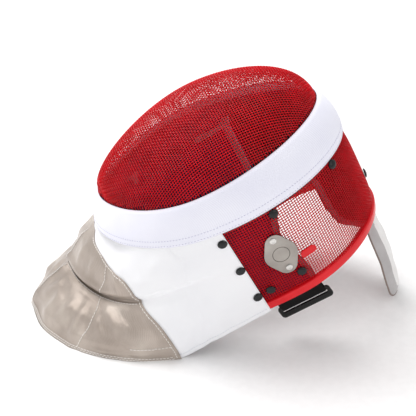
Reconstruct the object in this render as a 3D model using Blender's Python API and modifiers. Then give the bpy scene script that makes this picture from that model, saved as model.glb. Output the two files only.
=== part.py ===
"""Fencing mask of woven steel mesh with a cloth bib, lying face up on the bib's hem and the back tongue.

Every shell is modelled in the mask's own axes: X runs from the chin to the top of the head, Y across
the face and Z out of the face, from the middle of the seam band's upper edge. One empty tilts and
lifts these axes to where the mask lies, with the floor at height zero.
"""
from collections import namedtuple
from math import cos, pi, radians, sin

import bmesh
import bpy
import numpy as np
from mathutils import Matrix, Vector

MM = 0.001

# How the mask lies: its tilt, and where the middle of the band's upper edge is
FACE_TILT = radians(25.5)
REST_HEIGHT = 190.7 * MM
REST_SHIFT = -7.4 * MM

# Overall sizes of the mesh, measured on its outer side
FACE_LENGTH = 241.0 * MM
FACE_WIDTH = 185.4 * MM
BAND_SPREAD_LENGTH = 263.9 * MM
BAND_SPREAD_WIDTH = 199.4 * MM
RIM_LENGTH = 255.6 * MM
RIM_WIDTH = 170.8 * MM
DOME_HEIGHT = 50.9 * MM
DOME_APEX = 37.0 * MM
DOME_POWER = 2.09
BAND_DEPTH_CROWN = 46.0 * MM
BAND_DEPTH_CHIN = 26.0 * MM
RIM_DEPTH_CROWN = 140.0 * MM
RIM_DEPTH_EAR = 154.6 * MM
RIM_DEPTH_CHIN = 60.0 * MM
EAR_PLACE = -13.6 * MM
CROWN_BULGE = 4.6 * MM
CHIN_BULGE = 1.2 * MM
CROWN_WALL_BULGE = 3.2 * MM

# Thicknesses and clearances
MESH_THICK = 2.0 * MM
BAND_THICK = 2.0 * MM
RIM_WALL = 2.2 * MM
RIM_HEIGHT = 9.0 * MM
BIB_THICK = 1.6 * MM
LAME_THICK = 0.8 * MM
PAD_THICK = 8.0 * MM
GAP = 0.3 * MM
LOOSE_GAP = 0.5 * MM

# Bib
BIB_REACH = 190.0 * MM
BIB_HALF_WIDTH = 107.0 * MM
COLLAR_PUFF = 4.0 * MM
HEM_TRIM = 2.0 * MM

# Tongue behind the head
TONGUE_LENGTH = 127.5 * MM
TONGUE_WIDTH = 54.0 * MM
TONGUE_THICK = 9.0 * MM
TONGUE_SAG = 7.0 * MM

# Strap loop at the left ear
LOOP_LENGTH = 59.0 * MM
LOOP_HEIGHT = 15.5 * MM
LOOP_THICK = 3.0 * MM
LOOP_BAR = 4.0 * MM
LOOP_FOOT = 6.5 * MM
LOOP_PLACE = 16.2 * MM
LOOP_DROP = 16.5 * MM
LOOP_INSET = 2.45 * MM
LOOP_BEVEL = 0.8 * MM
WEBBING_WIDTH = 50.0 * MM
WEBBING_THICK = 1.2 * MM
WEBBING_ROOT = 9.0 * MM

# Rivets, badge plate and red tab
RIVET_RADIUS = 5.0 * MM
RIVET_HEIGHT = 2.4 * MM
BADGE_LENGTH = 50.0 * MM
BADGE_WIDTH = 34.0 * MM
PLATE_THICK = 1.0 * MM
BADGE_END_RADIUS = 10.0 * MM
BADGE_RIVET_RADIUS = 3.6 * MM
BADGE_RIVET_HEIGHT = 1.0 * MM
BADGE_RIVET_SPACING = 37.4 * MM
TAB_LENGTH = 17.5 * MM
TAB_WIDTH = 8.5 * MM

# Mesh steps: stations run from the chin to the top of the head on each half
CHIN_STEPS = 12
CROWN_STEPS = 12
DOME_STEPS = 8
TONGUE_SIDES = 12
RIVET_SIDES = 10

# Rows of the wall: -1 at the band's upper edge, 0 at its lower edge and 1 at the rim. The two meshes
# meet behind the band, at the joint place.
BAND_PLACES = [-1.0, -0.75, -0.45, -0.2, 0.0]
SIDE_PLACES = [0.0, 0.25, 0.5, 0.75, 0.88, 1.0]
JOINT_PLACE = BAND_PLACES[2]
JOINT_GAP = 0.012

Ring = namedtuple("Ring", "length width chin widest chin_rise chin_run crown_run crown_rise")

# Three outlines around the face. chin and widest are shares of the ring's length: how much of it lies
# on the chin side of the face's middle, and how far from that middle it is widest. The last four
# columns are the lengths of the curve handles, as shares of the half width and of each run.
RINGS = {
    "band_top": Ring(FACE_LENGTH, FACE_WIDTH, 0.524, -0.075, 0.30, 0.56, 0.48, 0.47),
    "band_low": Ring(BAND_SPREAD_LENGTH, BAND_SPREAD_WIDTH, 0.541, -0.133, 0.55, 0.44, 0.61, 0.42),
    "rim": Ring(RIM_LENGTH, RIM_WIDTH, 0.537, 0.096, 0.55, 0.55, 0.545, 0.543),
}

# Meridians of the bib from the front to the ear: where each crosses the neck seam and the hem.
# x and y are shares of the bib's reach and half width, and z of the rest height below the face.
BIB_MERIDIANS = [
    # seam_x, seam_y, seam_z, hem_x, hem_y, hem_z
    (-0.779, 0.000, 0.736, -1.000, 0.000, 1.0),
    (-0.712, 0.300, 0.738, -0.925, 0.435, 1.0),
    (-0.590, 0.570, 0.738, -0.735, 0.790, 1.0),
    (-0.440, 0.790, 0.695, -0.475, 0.975, 1.0),
    (-0.285, 0.900, 0.620, -0.230, 0.975, 1.0),
    (-0.085, 0.940, 0.525, 0.020, 0.910, 0.900),
]

# Rows of the bib from the band to the hem: down counts to 1 at the neck seam and to 2 at the hem,
# and puff is how far the cloth swells there, as a share of the collar's puff.
BIB_ROWS = [
    # down, puff
    (0.00, 0.0),
    (0.30, 0.6),
    (0.62, 1.0),
    (0.88, 0.8),
    (1.00, -0.5),
    (1.14, 0.5),
    (1.42, 1.3),
    (1.74, 1.4),
    (2.00, 0.0),
]

# Edge of the metallic cloth seen from the side, from the chin down to the hem:
# x as a share of the bib's reach and z as a share of the rest height below the face.
LAME_EDGE = [
    # x, z
    (-0.90, 0.465),
    (-0.64, 0.484),
    (-0.60, 0.492),
    (-0.55, 0.527),
    (-0.485, 0.585),
    (-0.42, 0.637),
    (-0.38, 0.675),
    (-0.335, 0.718),
    (-0.285, 0.785),
    (-0.238, 0.862),
    (-0.210, 0.925),
    (-0.190, 1.0),
    (-0.185, 1.1),
]

# The opening at each side of the inner pad, in shares of the rim's length and of its depth
PAD_WINDOW = [
    # along, deep
    (0.153, 0.375),
    (0.129, 0.51),
    (0.141, 0.675),
    (0.160, 0.785),
    (0.168, 0.91),
    (0.168, 1.2),
    (0.356, 1.2),
    (0.354, 0.82),
    (0.347, 0.67),
    (0.327, 0.51),
    (0.305, 0.375),
]

# Tongue from its root inside the rim to its tip: down is a share of its length, out of the rim's
# length from the face's middle, and width and thick are shares of its full width and thickness.
TONGUE_STATIONS = [
    # down, out, width, thick, sag
    (0.00, 0.4435, 0.80, 0.45, 0.5),
    (0.08, 0.4435, 0.84, 0.55, 0.6),
    (0.16, 0.444, 0.90, 0.75, 0.7),
    (0.26, 0.448, 0.96, 1.00, 0.8),
    (0.40, 0.450, 1.00, 1.00, 1.0),
    (0.55, 0.446, 1.00, 1.00, 1.0),
    (0.70, 0.434, 1.00, 1.00, 1.0),
    (0.82, 0.424, 0.97, 1.00, 0.9),
    (0.90, 0.415, 0.82, 0.98, 0.7),
    (0.96, 0.411, 0.54, 0.88, 0.4),
    (1.00, 0.407, 0.22, 0.60, 0.1),
]

# Rivet heads on each side: along the face and depth behind it, in shares of the rim's length and
# depth at the ear, and whether they sit on the cloth of the bib
RIVET_PLACES = [
    # name, along, deep, on_bib
    ("rivet_band_cheek", 0.140, 0.335, False),
    ("rivet_band_temple", 0.401, 0.345, False),
    ("rivet_rim_ear", -0.013, 0.863, False),
    ("rivet_rim_cheek", 0.130, 0.824, False),
    ("rivet_bib_upper", -0.078, 0.345, True),
    ("rivet_bib_middle", -0.074, 0.605, True),
    ("rivet_bib_lower", -0.071, 0.868, True),
]
CROWN_RIVET_DEEP = 0.640

# Profile of a domed rivet head, in shares of its radius and height
RIVET_PROFILE = [
    # out, up
    (0.0, 1.0),
    (0.55, 0.85),
    (0.9, 0.5),
    (1.0, 0.0),
    (0.0, 0.0),
]

# Where the badge plate and the red tab sit, as shares of the rim's length and its depth at the ear
BADGE_ALONG = 0.0925
BADGE_DEEP = 0.627
TAB_ALONG = 0.188
TAB_DEEP = 0.712


def clear_scene():
    for obj in list(bpy.data.objects):
        bpy.data.objects.remove(obj, do_unlink=True)


def new_collection(name):
    collection = bpy.data.collections.new(name)
    bpy.context.scene.collection.children.link(collection)
    return collection


def material(name, color, roughness, metallic=0.0):
    result = bpy.data.materials.new(name)
    result.use_nodes = True
    shader = result.node_tree.nodes["Principled BSDF"]
    shader.inputs["Base Color"].default_value = (*color, 1.0)
    shader.inputs["Roughness"].default_value = roughness
    shader.inputs["Metallic"].default_value = metallic
    return result


def add_object(name, mesh, look, location=None):
    """Link a sub-part under the mask's axes."""
    obj = bpy.data.objects.new(name, mesh)
    PARTS.objects.link(obj)
    obj.parent = MASK_AXES
    if location is not None:
        obj.matrix_local = location
    if look is not None:
        mesh.materials.append(look)
    return obj


def add_cutter(name, mesh):
    obj = bpy.data.objects.new(name, mesh)
    CUTTERS.objects.link(obj)
    obj.parent = MASK_AXES
    obj.hide_render = True
    obj.display_type = "WIRE"
    return obj


def cut(obj, cutter, operation="DIFFERENCE"):
    boolean = obj.modifiers.new(cutter.name, "BOOLEAN")
    boolean.operation = operation
    boolean.solver = "EXACT"
    boolean.object = cutter


def mesh_from(name, points, faces, closed=False):
    """A smooth mesh of hand-placed faces, its shared points joined."""
    mesh = bpy.data.meshes.new(name)
    mesh.from_pydata([tuple(point) for point in points], [], faces)
    work = bmesh.new()
    work.from_mesh(mesh)
    bmesh.ops.remove_doubles(work, verts=work.verts, dist=0.001 * MM)
    if closed:
        bmesh.ops.recalc_face_normals(work, faces=work.faces)
    work.to_mesh(mesh)
    work.free()
    mesh.shade_smooth()
    mesh.set_sharp_from_angle(angle=radians(40))
    return mesh


def lying(x, y, z):
    """A point given from the floor's axes, in the mask's own axes."""
    along = x * cos(FACE_TILT) + z * sin(FACE_TILT)
    out = -x * sin(FACE_TILT) + z * cos(FACE_TILT)
    return np.array([along, y, out])


def curve_through(values, places):
    """Read a smooth Catmull-Rom curve through the rows of values at the given row places."""
    values = np.asarray(values, float)
    padded = np.vstack([2 * values[0] - values[1], values, 2 * values[-1] - values[-2]])
    result = []
    for place in places:
        first = min(int(place), len(values) - 2)
        t = place - first
        p0, p1, p2, p3 = padded[first:first + 4]
        result.append(
            0.5 * (2 * p1 + (p2 - p0) * t + (2 * p0 - 5 * p1 + 4 * p2 - p3) * t ** 2
                   + (3 * p1 - p0 - 3 * p2 + p3) * t ** 3)
        )
    return np.array(result)


def half_width(ring, along):
    """Half width of a ring at a distance along the face, from two cubic curves."""
    half = ring.width / 2
    chin = -ring.chin * ring.length
    crown = (1 - ring.chin) * ring.length
    widest = ring.widest * ring.length
    t = np.linspace(0, 1, 200)[:, None]

    def cubic(p0, p1, p2, p3):
        points = [np.array(p) for p in (p0, p1, p2, p3)]
        weights = [(1 - t) ** 3, 3 * (1 - t) ** 2 * t, 3 * (1 - t) * t ** 2, t ** 3]
        return sum(weight * point for weight, point in zip(weights, points))

    chin_handle = widest - ring.chin_run * (widest - chin)
    crown_handle = widest + ring.crown_run * (crown - widest)
    chin_side = cubic((chin, 0), (chin, ring.chin_rise * half), (chin_handle, half), (widest, half))
    crown_side = cubic((widest, half), (crown_handle, half), (crown, ring.crown_rise * half), (crown, 0))
    outline = np.vstack([chin_side, crown_side[1:]])
    return np.interp(along, outline[:, 0], outline[:, 1])


def station_shares():
    """Shares of the way from chin to crown, with one station exactly at the ear."""
    ring = RINGS["rim"]
    ear = np.arccos(1 - 2 * (EAR_PLACE + ring.chin * ring.length) / ring.length) / pi
    chin_part = np.linspace(0, ear, CHIN_STEPS + 1)
    crown_part = np.linspace(ear, 1, CROWN_STEPS + 1)
    return np.concatenate([chin_part, crown_part[1:]])


def band_depth(along):
    ring = RINGS["band_low"]
    crown = (1 - ring.chin) * ring.length
    share = (crown - along) / ring.length
    return BAND_DEPTH_CROWN - (BAND_DEPTH_CROWN - BAND_DEPTH_CHIN) * share ** 2


def rim_depth(along):
    ring = RINGS["rim"]
    crown = (1 - ring.chin) * ring.length
    chin = -ring.chin * ring.length
    behind = RIM_DEPTH_CROWN + (RIM_DEPTH_EAR - RIM_DEPTH_CROWN) * (crown - along) / (crown - EAR_PLACE)
    ahead = np.clip((EAR_PLACE - along) / (EAR_PLACE - chin), 0, 1) ** 1.2
    below = RIM_DEPTH_EAR - (RIM_DEPTH_EAR - RIM_DEPTH_CHIN) * ahead
    return np.where(along > EAR_PLACE, behind, below)


def ring_row(name, depth):
    """The stations of one ring, as rows of along, across and out."""
    ring = RINGS[name]
    chin = -ring.chin * ring.length
    along = chin + ring.length * (1 - np.cos(pi * SHARES)) / 2
    across = half_width(ring, along)
    across[0] = 0
    across[-1] = 0
    return np.column_stack([along, across, -depth(along) * np.ones_like(along)])


def outward(row):
    """Unit directions out of a ring in the face's plane."""
    run = np.gradient(row, axis=0)
    side = np.column_stack([-run[:, 1], run[:, 0], np.zeros(len(row))])
    side[0] = (-1, 0, 0)
    side[-1] = (1, 0, 0)
    return side / np.linalg.norm(side, axis=1)[:, None]


def wall_row(place):
    """The stations of one row of the wall, with its bulge out of the straight lines between rings."""
    low = ring_row("band_low", band_depth)
    toward_crown = (low[:, 0] - low[0, 0]) / (low[-1, 0] - low[0, 0])
    if place > 0:
        row = low + (ring_row("rim", rim_depth) - low) * place
        bulge = CROWN_WALL_BULGE * toward_crown ** 3 * (1 - (2 * place - 1) ** 4)
    else:
        share = place + 1
        top = ring_row("band_top", lambda along: 0.0)
        row = top + (low - top) * share
        bulge = (CHIN_BULGE + (CROWN_BULGE - CHIN_BULGE) * toward_crown ** 2) * 4 * share * (1 - share)
    return row + outward(row) * bulge[:, None]


def dome_row(angle):
    """A row of the domed front, from the band's top edge at angle 0 to the apex at a right angle."""
    base = ring_row("band_top", lambda along: 0.0)
    apex = np.array([DOME_APEX, 0, 0])
    row = apex + (base - apex) * max(cos(angle), 0) ** (2 / DOME_POWER)
    row[:, 2] = DOME_HEIGHT * sin(angle) ** (2 / DOME_POWER)
    return row


def normals(grid):
    """Unit normals of a grid of points, turned away from the inside of the mask."""
    across_rows = np.gradient(grid, axis=0)
    along_rows = np.gradient(grid, axis=1)
    cross = np.cross(along_rows, across_rows)
    flat_ends = np.abs(grid[..., 1]) < 0.01 * MM
    cross[..., 1] = np.where(flat_ends, 0, cross[..., 1])
    cross = cross / np.maximum(np.linalg.norm(cross, axis=2), 1e-12)[..., None]
    centre = np.array([0, 0, -BAND_DEPTH_CROWN])
    facing = np.sum(cross * (grid - centre), axis=2)
    return cross * np.where(np.sum(facing) < 0, -1, 1)


def shifted(grid, distance):
    return grid + normals(grid) * distance


def half_surface(name, grid):
    """A mesh of the grid, each cell two triangles on the same diagonal, facing out of the mask."""
    rows, columns, _ = grid.shape
    points = grid.reshape(-1, 3)
    faces = []
    for row in range(rows - 1):
        for column in range(columns - 1):
            first = row * columns + column
            below = first + columns
            faces += [(first, first + 1, below + 1), (first, below + 1, below)]
    outside = normals(grid)
    row, column = rows // 2, columns // 2
    corner = grid[row - 1, column - 1]
    face_normal = np.cross(grid[row - 1, column] - corner, grid[row, column - 1] - corner)
    if np.dot(face_normal, outside[row - 1, column - 1]) < 0:
        faces = [face[::-1] for face in faces]
    return mesh_from(name, points, faces)


def mirrored_shell(name, grid, thickness, look, offset=-1):
    """A shell on both sides of the symmetry plane, from the half grid."""
    obj = add_object(name, half_surface(name, grid), look)
    mirror = obj.modifiers.new("both sides", "MIRROR")
    mirror.use_axis = (False, True, False)
    mirror.merge_threshold = 0.01 * MM
    solidify = obj.modifiers.new("thickness", "SOLIDIFY")
    solidify.thickness = thickness
    solidify.offset = offset
    return obj


def wall_grid(places):
    return np.array([wall_row(place) for place in places])


def front_mesh():
    angles = [pi / 2 * (1 - (step / DOME_STEPS) ** 1.15) for step in range(DOME_STEPS + 1)]
    dome = [dome_row(angle) for angle in angles]
    skirt = [wall_row(place) for place in BAND_PLACES[1:3]]
    return mirrored_shell("front_mesh", np.array(dome + skirt), MESH_THICK, MESH_RED)


def side_mesh():
    places = [JOINT_PLACE + JOINT_GAP] + BAND_PLACES[3:-1] + SIDE_PLACES
    return mirrored_shell("side_mesh", wall_grid(places), MESH_THICK, MESH_RED)


def seam_band():
    grid = shifted(wall_grid(BAND_PLACES), GAP)
    return mirrored_shell("seam_band", grid, BAND_THICK, CLOTH_WHITE, offset=1)


def rim_trim():
    """A channel over the mesh's edge from ear to ear: an outer wall, a foot and an inner wall."""
    wall = wall_grid([0.8, 0.9, 1.0])
    outside = normals(wall)[-1, CHIN_STEPS:]
    edge = wall[-1, CHIN_STEPS:]
    start = 0.03
    edge[0] = edge[0] + (edge[1] - edge[0]) * start
    down = edge - wall[-2, CHIN_STEPS:]
    down[0] = down[1]
    down = down / np.linalg.norm(down, axis=1)[:, None]
    outer = edge + outside * GAP
    inner = edge - outside * (MESH_THICK + GAP)
    rows = [
        outer - down * (RIM_HEIGHT - RIM_WALL),
        outer + down * GAP,
        inner + down * GAP,
        inner - down * (RIM_HEIGHT - RIM_WALL),
    ]
    return mirrored_shell("rim_trim", np.array(rows), RIM_WALL, RIM_RED, offset=1)


def bib_grid():
    """Outer side of the bib: the collar down to the neck seam, then the flared skirt to the hem."""
    count = len(BIB_MERIDIANS)
    scale = np.array([BIB_REACH, BIB_HALF_WIDTH, -REST_HEIGHT] * 2)
    table = np.array(BIB_MERIDIANS) * scale
    table[:-1, 5] -= HEM_TRIM
    seams = [lying(*row[:3]) for row in table]
    hems = [lying(*row[3:]) for row in table]
    wall = shifted(wall_grid(SIDE_PLACES), GAP + BIB_THICK)
    ear = wall[:, CHIN_STEPS]
    seams.append(ear[2])
    hems.append(ear[-1])
    places = np.linspace(0, count, CHIN_STEPS + 1)
    top = wall[0, :CHIN_STEPS + 1] + np.array([0, 0, -LOOSE_GAP])
    seam = curve_through(seams, places)
    hem = curve_through(hems, places)
    rows = []
    for down, _ in BIB_ROWS:
        if down <= 1:
            rows.append(top + (seam - top) * down)
        else:
            rows.append(seam + (hem - seam) * (down - 1))
    grid = np.array(rows)
    fade = 1 - (places / count) ** 3
    puff = np.array([share for _, share in BIB_ROWS])[:, None] * fade[None, :] * COLLAR_PUFF
    return grid + normals(grid) * puff[..., None]


def extruded(name, outline, reach):
    """A closed mesh: a flat outline carried along a vector."""
    work = bmesh.new()
    face = work.faces.new([work.verts.new(point) for point in outline])
    carried = bmesh.ops.extrude_face_region(work, geom=[face])
    moved = [item for item in carried["geom"] if isinstance(item, bmesh.types.BMVert)]
    bmesh.ops.translate(work, verts=moved, vec=reach)
    bmesh.ops.recalc_face_normals(work, faces=work.faces)
    mesh = bpy.data.meshes.new(name)
    work.to_mesh(mesh)
    work.free()
    return mesh


def prism(name, outline, width):
    """A cutter: a side view outline carried across the mask."""
    near = [(point[0], -width / 2, point[1]) for point in outline]
    return add_cutter(name, extruded(name, near, (0, width, 0)))


def floor_cutter():
    """Everything below the floor, with a wide flat top at the floor's height."""
    reach = 2 * BIB_REACH
    top = -REST_HEIGHT
    corners = [(-reach, top), (reach, top), (reach, 2 * top), (-reach, 2 * top)]
    outline = [lying(x, 0, z)[[0, 2]] for x, z in corners]
    return prism("floor_cutter", outline, reach)


def bib(floor):
    grid = bib_grid()
    cloth = mirrored_shell("bib", grid, BIB_THICK, CLOTH_WHITE)
    cut(cloth, floor)
    lame = mirrored_shell("bib_lame", shifted(grid, GAP), LAME_THICK, LAME_SILVER, offset=1)
    front = [(x * BIB_REACH, -z * REST_HEIGHT) for x, z in LAME_EDGE]
    front += [(-1.3 * BIB_REACH, -1.1 * REST_HEIGHT), (-1.3 * BIB_REACH, front[0][1])]
    outline = [lying(x, 0, z)[[0, 2]] for x, z in front]
    cut(lame, prism("lame_cutter", outline, 4 * BIB_HALF_WIDTH), "INTERSECT")
    cut(lame, floor)


def inner_pad():
    """Padding all round inside the mesh, open at each temple."""
    places = BAND_PLACES[1:-1] + SIDE_PLACES[:-1]
    grid = shifted(wall_grid(places), -(MESH_THICK + LOOSE_GAP))
    pad = mirrored_shell("inner_pad", grid, PAD_THICK, PAD_NAVY)
    outline = [(along * RIM_LENGTH, -deep * RIM_DEPTH_EAR) for along, deep in PAD_WINDOW]
    cut(pad, prism("pad_window_cutter", outline, 2 * FACE_WIDTH))


def tongue(floor):
    """A padded tongue with a curved cross-section and a rounded tip."""
    root = RIM_DEPTH_CROWN - RIM_HEIGHT
    sections = []
    for down, out, width, thick, sag in TONGUE_STATIONS:
        section = []
        half = TONGUE_WIDTH * width / 2
        body = TONGUE_THICK * thick / 2
        for side in range(TONGUE_SIDES):
            angle = 2 * pi * side / TONGUE_SIDES
            across = half * np.sign(cos(angle)) * abs(cos(angle)) ** 0.7
            lift = body * np.sign(sin(angle)) * abs(sin(angle)) ** 0.8
            bend = TONGUE_SAG * sag * (across / half) ** 2
            middle = out * RIM_LENGTH - body
            section.append((middle + lift - bend, across, -(root + down * TONGUE_LENGTH)))
        sections.append(section)
    points = [point for section in sections for point in section]
    faces = []
    for row in range(len(sections) - 1):
        for side in range(TONGUE_SIDES):
            first = row * TONGUE_SIDES + side
            second = row * TONGUE_SIDES + (side + 1) % TONGUE_SIDES
            faces.append((first, second, second + TONGUE_SIDES, first + TONGUE_SIDES))
    tip = len(points) - TONGUE_SIDES
    faces.append(tuple(range(TONGUE_SIDES)))
    faces.append(tuple(range(tip, len(points))))
    mesh = mesh_from("tongue", points, faces, closed=True)
    cut(add_object("tongue", mesh, TONGUE_CLOTH), floor)


def seat(grid, along, depth, side):
    """A place on a grid of the wall or the bib: its point, and unit vectors along it and out of it."""
    spots = []
    runs = []
    for row in grid:
        column = int(np.clip(np.searchsorted(row[:, 0], along), 1, len(row) - 1))
        step = row[column] - row[column - 1]
        spots.append(row[column - 1] + step * (along - row[column - 1, 0]) / step[0])
        runs.append(step)
    depths = np.array([-spot[2] for spot in spots])
    index = int(np.clip(np.searchsorted(depths, depth), 1, len(spots) - 1))
    fall = spots[index] - spots[index - 1]
    share = (depth - depths[index - 1]) / (depths[index] - depths[index - 1])
    point = Vector(spots[index - 1] + fall * share)
    run = Vector(runs[index - 1] + runs[index]).normalized()
    out = run.cross(Vector(fall)).normalized()
    if out.y < 0:
        out = -out
    if side < 0:
        flip = Vector((1, -1, 1))
        point, run, out = (vector * flip for vector in (point, run, out))
    return point, run, out


def placement(point, run, out, lift):
    """A matrix whose Z axis points out of the wall and whose X axis runs along it."""
    side = out.cross(run)
    matrix = Matrix((run, side, out)).transposed().to_4x4()
    matrix.translation = point + out * lift
    return matrix


def rivet_head(name, radius, height, look, matrix):
    """A domed head, turned from its profile."""
    mesh = bpy.data.meshes.new(name)
    edges = [(index, index + 1) for index in range(len(RIVET_PROFILE) - 1)]
    mesh.from_pydata([(x * radius, 0, z * height) for x, z in RIVET_PROFILE], edges, [])
    obj = add_object(name, mesh, look, matrix)
    screw = obj.modifiers.new("turn", "SCREW")
    screw.axis = "Z"
    screw.steps = RIVET_SIDES
    screw.render_steps = RIVET_SIDES
    screw.use_merge_vertices = True
    screw.merge_threshold = 0.01 * MM
    screw.use_smooth_shade = True
    return obj


def side_name(name, side):
    return name + ("_right" if side > 0 else "_left")


def rivets():
    wall = wall_grid(SIDE_PLACES)
    cloth = bib_grid()
    for name, along, deep, on_bib in RIVET_PLACES:
        for side in (-1, 1):
            place = seat(cloth if on_bib else wall, along * RIM_LENGTH, deep * RIM_DEPTH_EAR, side)
            matrix = placement(*place, LOOSE_GAP)
            rivet_head(side_name(name, side), RIVET_RADIUS, RIVET_HEIGHT, RIVET_BLACK, matrix)
    crown = wall_grid([0.5, CROWN_RIVET_DEEP, 0.9])
    point = Vector(crown[1, -1])
    out = Vector(normals(crown)[1, -1])
    run = Vector((0, 1, 0))
    matrix = placement(point, run, out, LOOSE_GAP)
    rivet_head("rivet_crown", RIVET_RADIUS, RIVET_HEIGHT, RIVET_BLACK, matrix)


def arc(centre, radius, start, end, steps):
    return [
        (centre[0] + radius * cos(start + (end - start) * step / steps),
         centre[1] + radius * sin(start + (end - start) * step / steps))
        for step in range(steps + 1)
    ]


def plate(name, outline, look, matrix):
    """A thin flat plate standing on its underside."""
    mesh = extruded(name, [(x, y, 0) for x, y in outline], (0, 0, PLATE_THICK))
    return add_object(name, mesh, look, matrix)


def badge():
    """A bare plate with a round middle and two narrower riveted ends, on the wearer's left side."""
    place = seat(wall_grid(SIDE_PLACES), BADGE_ALONG * RIM_LENGTH, BADGE_DEEP * RIM_DEPTH_EAR, -1)
    matrix = placement(*place, LOOSE_GAP)
    end = BADGE_LENGTH / 2 - BADGE_END_RADIUS
    belly = BADGE_WIDTH / 2
    outline = arc((0, end), BADGE_END_RADIUS, radians(35), radians(145), 5)
    outline += arc((0, 0), belly, radians(160), radians(200), 4)
    outline += arc((0, -end), BADGE_END_RADIUS, radians(215), radians(325), 5)
    outline += arc((0, 0), belly, radians(-20), radians(20), 4)
    plate("badge_plate", outline, BADGE_METAL, matrix)
    for name, step in (("badge_rivet_upper", 1), ("badge_rivet_lower", -1)):
        shift = Matrix.Translation((0, step * BADGE_RIVET_SPACING / 2, PLATE_THICK + GAP))
        rivet_head(name, BADGE_RIVET_RADIUS, BADGE_RIVET_HEIGHT, BADGE_METAL, matrix @ shift)


def tab():
    """A red tab lying on the mesh beside the badge plate, round at its free end."""
    place = seat(wall_grid(SIDE_PLACES), TAB_ALONG * RIM_LENGTH, TAB_DEEP * RIM_DEPTH_EAR, -1)
    half = TAB_WIDTH / 2
    straight = TAB_LENGTH / 2 - half
    outline = arc((straight, 0), half, -pi / 2, pi / 2, 8)
    outline += arc((-straight, 0), half, pi / 2, 3 * pi / 2, 8)
    plate("side_tab", outline, RIM_RED, placement(*place, LOOSE_GAP))


def box(size, middle):
    """A box centred at a distance along its own Y axis."""
    half = [length / 2 for length in size]
    corners = [(-half[0], -half[1]), (half[0], -half[1]), (half[0], half[1]), (-half[0], half[1])]
    return extruded("box", [(x, y + middle, -half[2]) for x, y in corners], (0, 0, size[2]))


def strap_loop(side):
    """A plastic loop held below the rim by a folded length of webbing."""
    depth = float(rim_depth(np.array(LOOP_PLACE)))
    point, run, out = seat(wall_grid(SIDE_PLACES), LOOP_PLACE, depth, side)
    inner = MESH_THICK + 2 * GAP + RIM_WALL
    fold = LOOP_THICK / 2 + GAP + WEBBING_THICK
    matrix = placement(point, run, out, -(inner + LOOP_INSET + fold))
    downward = 1 if (matrix.to_3x3() @ Vector((0, 1, 0))).z < 0 else -1
    middle = downward * (LOOP_DROP + LOOP_HEIGHT / 2)
    size = (LOOP_LENGTH, LOOP_HEIGHT, LOOP_THICK)
    loop = add_object(side_name("strap_loop", side), box(size, middle), LOOP_BLACK, matrix)
    bevel = loop.modifiers.new("rounded edges", "BEVEL")
    bevel.width = LOOP_BEVEL
    bevel.segments = 2
    window_height = LOOP_HEIGHT - LOOP_BAR - LOOP_FOOT
    window_middle = downward * (LOOP_DROP + LOOP_BAR + window_height / 2)
    size = (LOOP_LENGTH - 2 * (LOOP_BAR - GAP), window_height, 4 * LOOP_THICK)
    window = add_cutter(side_name("loop_window_cutter", side), box(size, window_middle))
    window.matrix_local = matrix
    cut(loop, window)
    webbing(side, matrix, downward, fold)


def webbing(side, matrix, downward, fold):
    """Webbing folded round the loop's upper bar, both ends tucked up inside the rim."""
    turn = LOOP_DROP + LOOP_BAR / 2
    inside = fold - WEBBING_THICK
    reach = LOOP_BAR / 2 + GAP
    outer_fold = [
        (turn, fold), (turn + reach * 0.7, fold), (turn + reach + WEBBING_THICK, fold * 0.5),
        (turn + reach + WEBBING_THICK, -fold * 0.5), (turn + reach * 0.7, -fold), (turn, -fold),
    ]
    inner_fold = [
        (turn, -inside), (turn + reach, -inside), (turn + reach, inside), (turn, inside),
    ]
    outline = [(-WEBBING_ROOT, fold)] + outer_fold + [(-WEBBING_ROOT, -fold), (-WEBBING_ROOT, -inside)]
    outline += inner_fold + [(-WEBBING_ROOT, inside)]
    edge = [(-WEBBING_WIDTH / 2, downward * y, z) for y, z in outline]
    mesh = extruded("strap_webbing", edge, (WEBBING_WIDTH, 0, 0))
    add_object(side_name("strap_webbing", side), mesh, WEBBING_BLACK, matrix)


clear_scene()
PARTS = new_collection("fencing_mask")
CUTTERS = new_collection("cutters")
MASK_AXES = bpy.data.objects.new("mask_axes", None)
PARTS.objects.link(MASK_AXES)
MASK_AXES.location = (REST_SHIFT, 0, REST_HEIGHT)
MASK_AXES.rotation_euler = (0, -FACE_TILT, 0)

MESH_RED = material("mesh_red", (0.56, 0.02, 0.03), 0.45)
RIM_RED = material("rim_red", (0.62, 0.02, 0.03), 0.3)
CLOTH_WHITE = material("cloth_white", (0.86, 0.86, 0.9), 0.85)
LAME_SILVER = material("lame_silver", (0.42, 0.37, 0.33), 0.45, 0.6)
PAD_NAVY = material("pad_navy", (0.02, 0.02, 0.06), 0.9)
TONGUE_CLOTH = material("tongue_cloth", (0.78, 0.77, 0.76), 0.8)
LOOP_BLACK = material("loop_black", (0.015, 0.015, 0.015), 0.3)
WEBBING_BLACK = material("webbing_black", (0.01, 0.01, 0.01), 0.9)
RIVET_BLACK = material("rivet_black", (0.02, 0.022, 0.025), 0.25)
BADGE_METAL = material("badge_metal", (0.45, 0.43, 0.4), 0.35, 0.9)

SHARES = station_shares()

FLOOR = floor_cutter()
front_mesh()
side_mesh()
seam_band()
rim_trim()
bib(FLOOR)
inner_pad()
tongue(FLOOR)
rivets()
badge()
tab()
strap_loop(-1)
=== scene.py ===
"""Fencing mask: woven wire, sewn cloth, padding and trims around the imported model, in its frame.

Shapes are worked out in millimetres in the mask's own axes, as the CAD does: u runs from the chin to
the top of the head, y across the face and f out of the face.
"""
from collections import namedtuple
from math import cos, pi, radians, sin

import bmesh
import bpy
import numpy as np
from mathutils import Matrix, Vector


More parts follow.
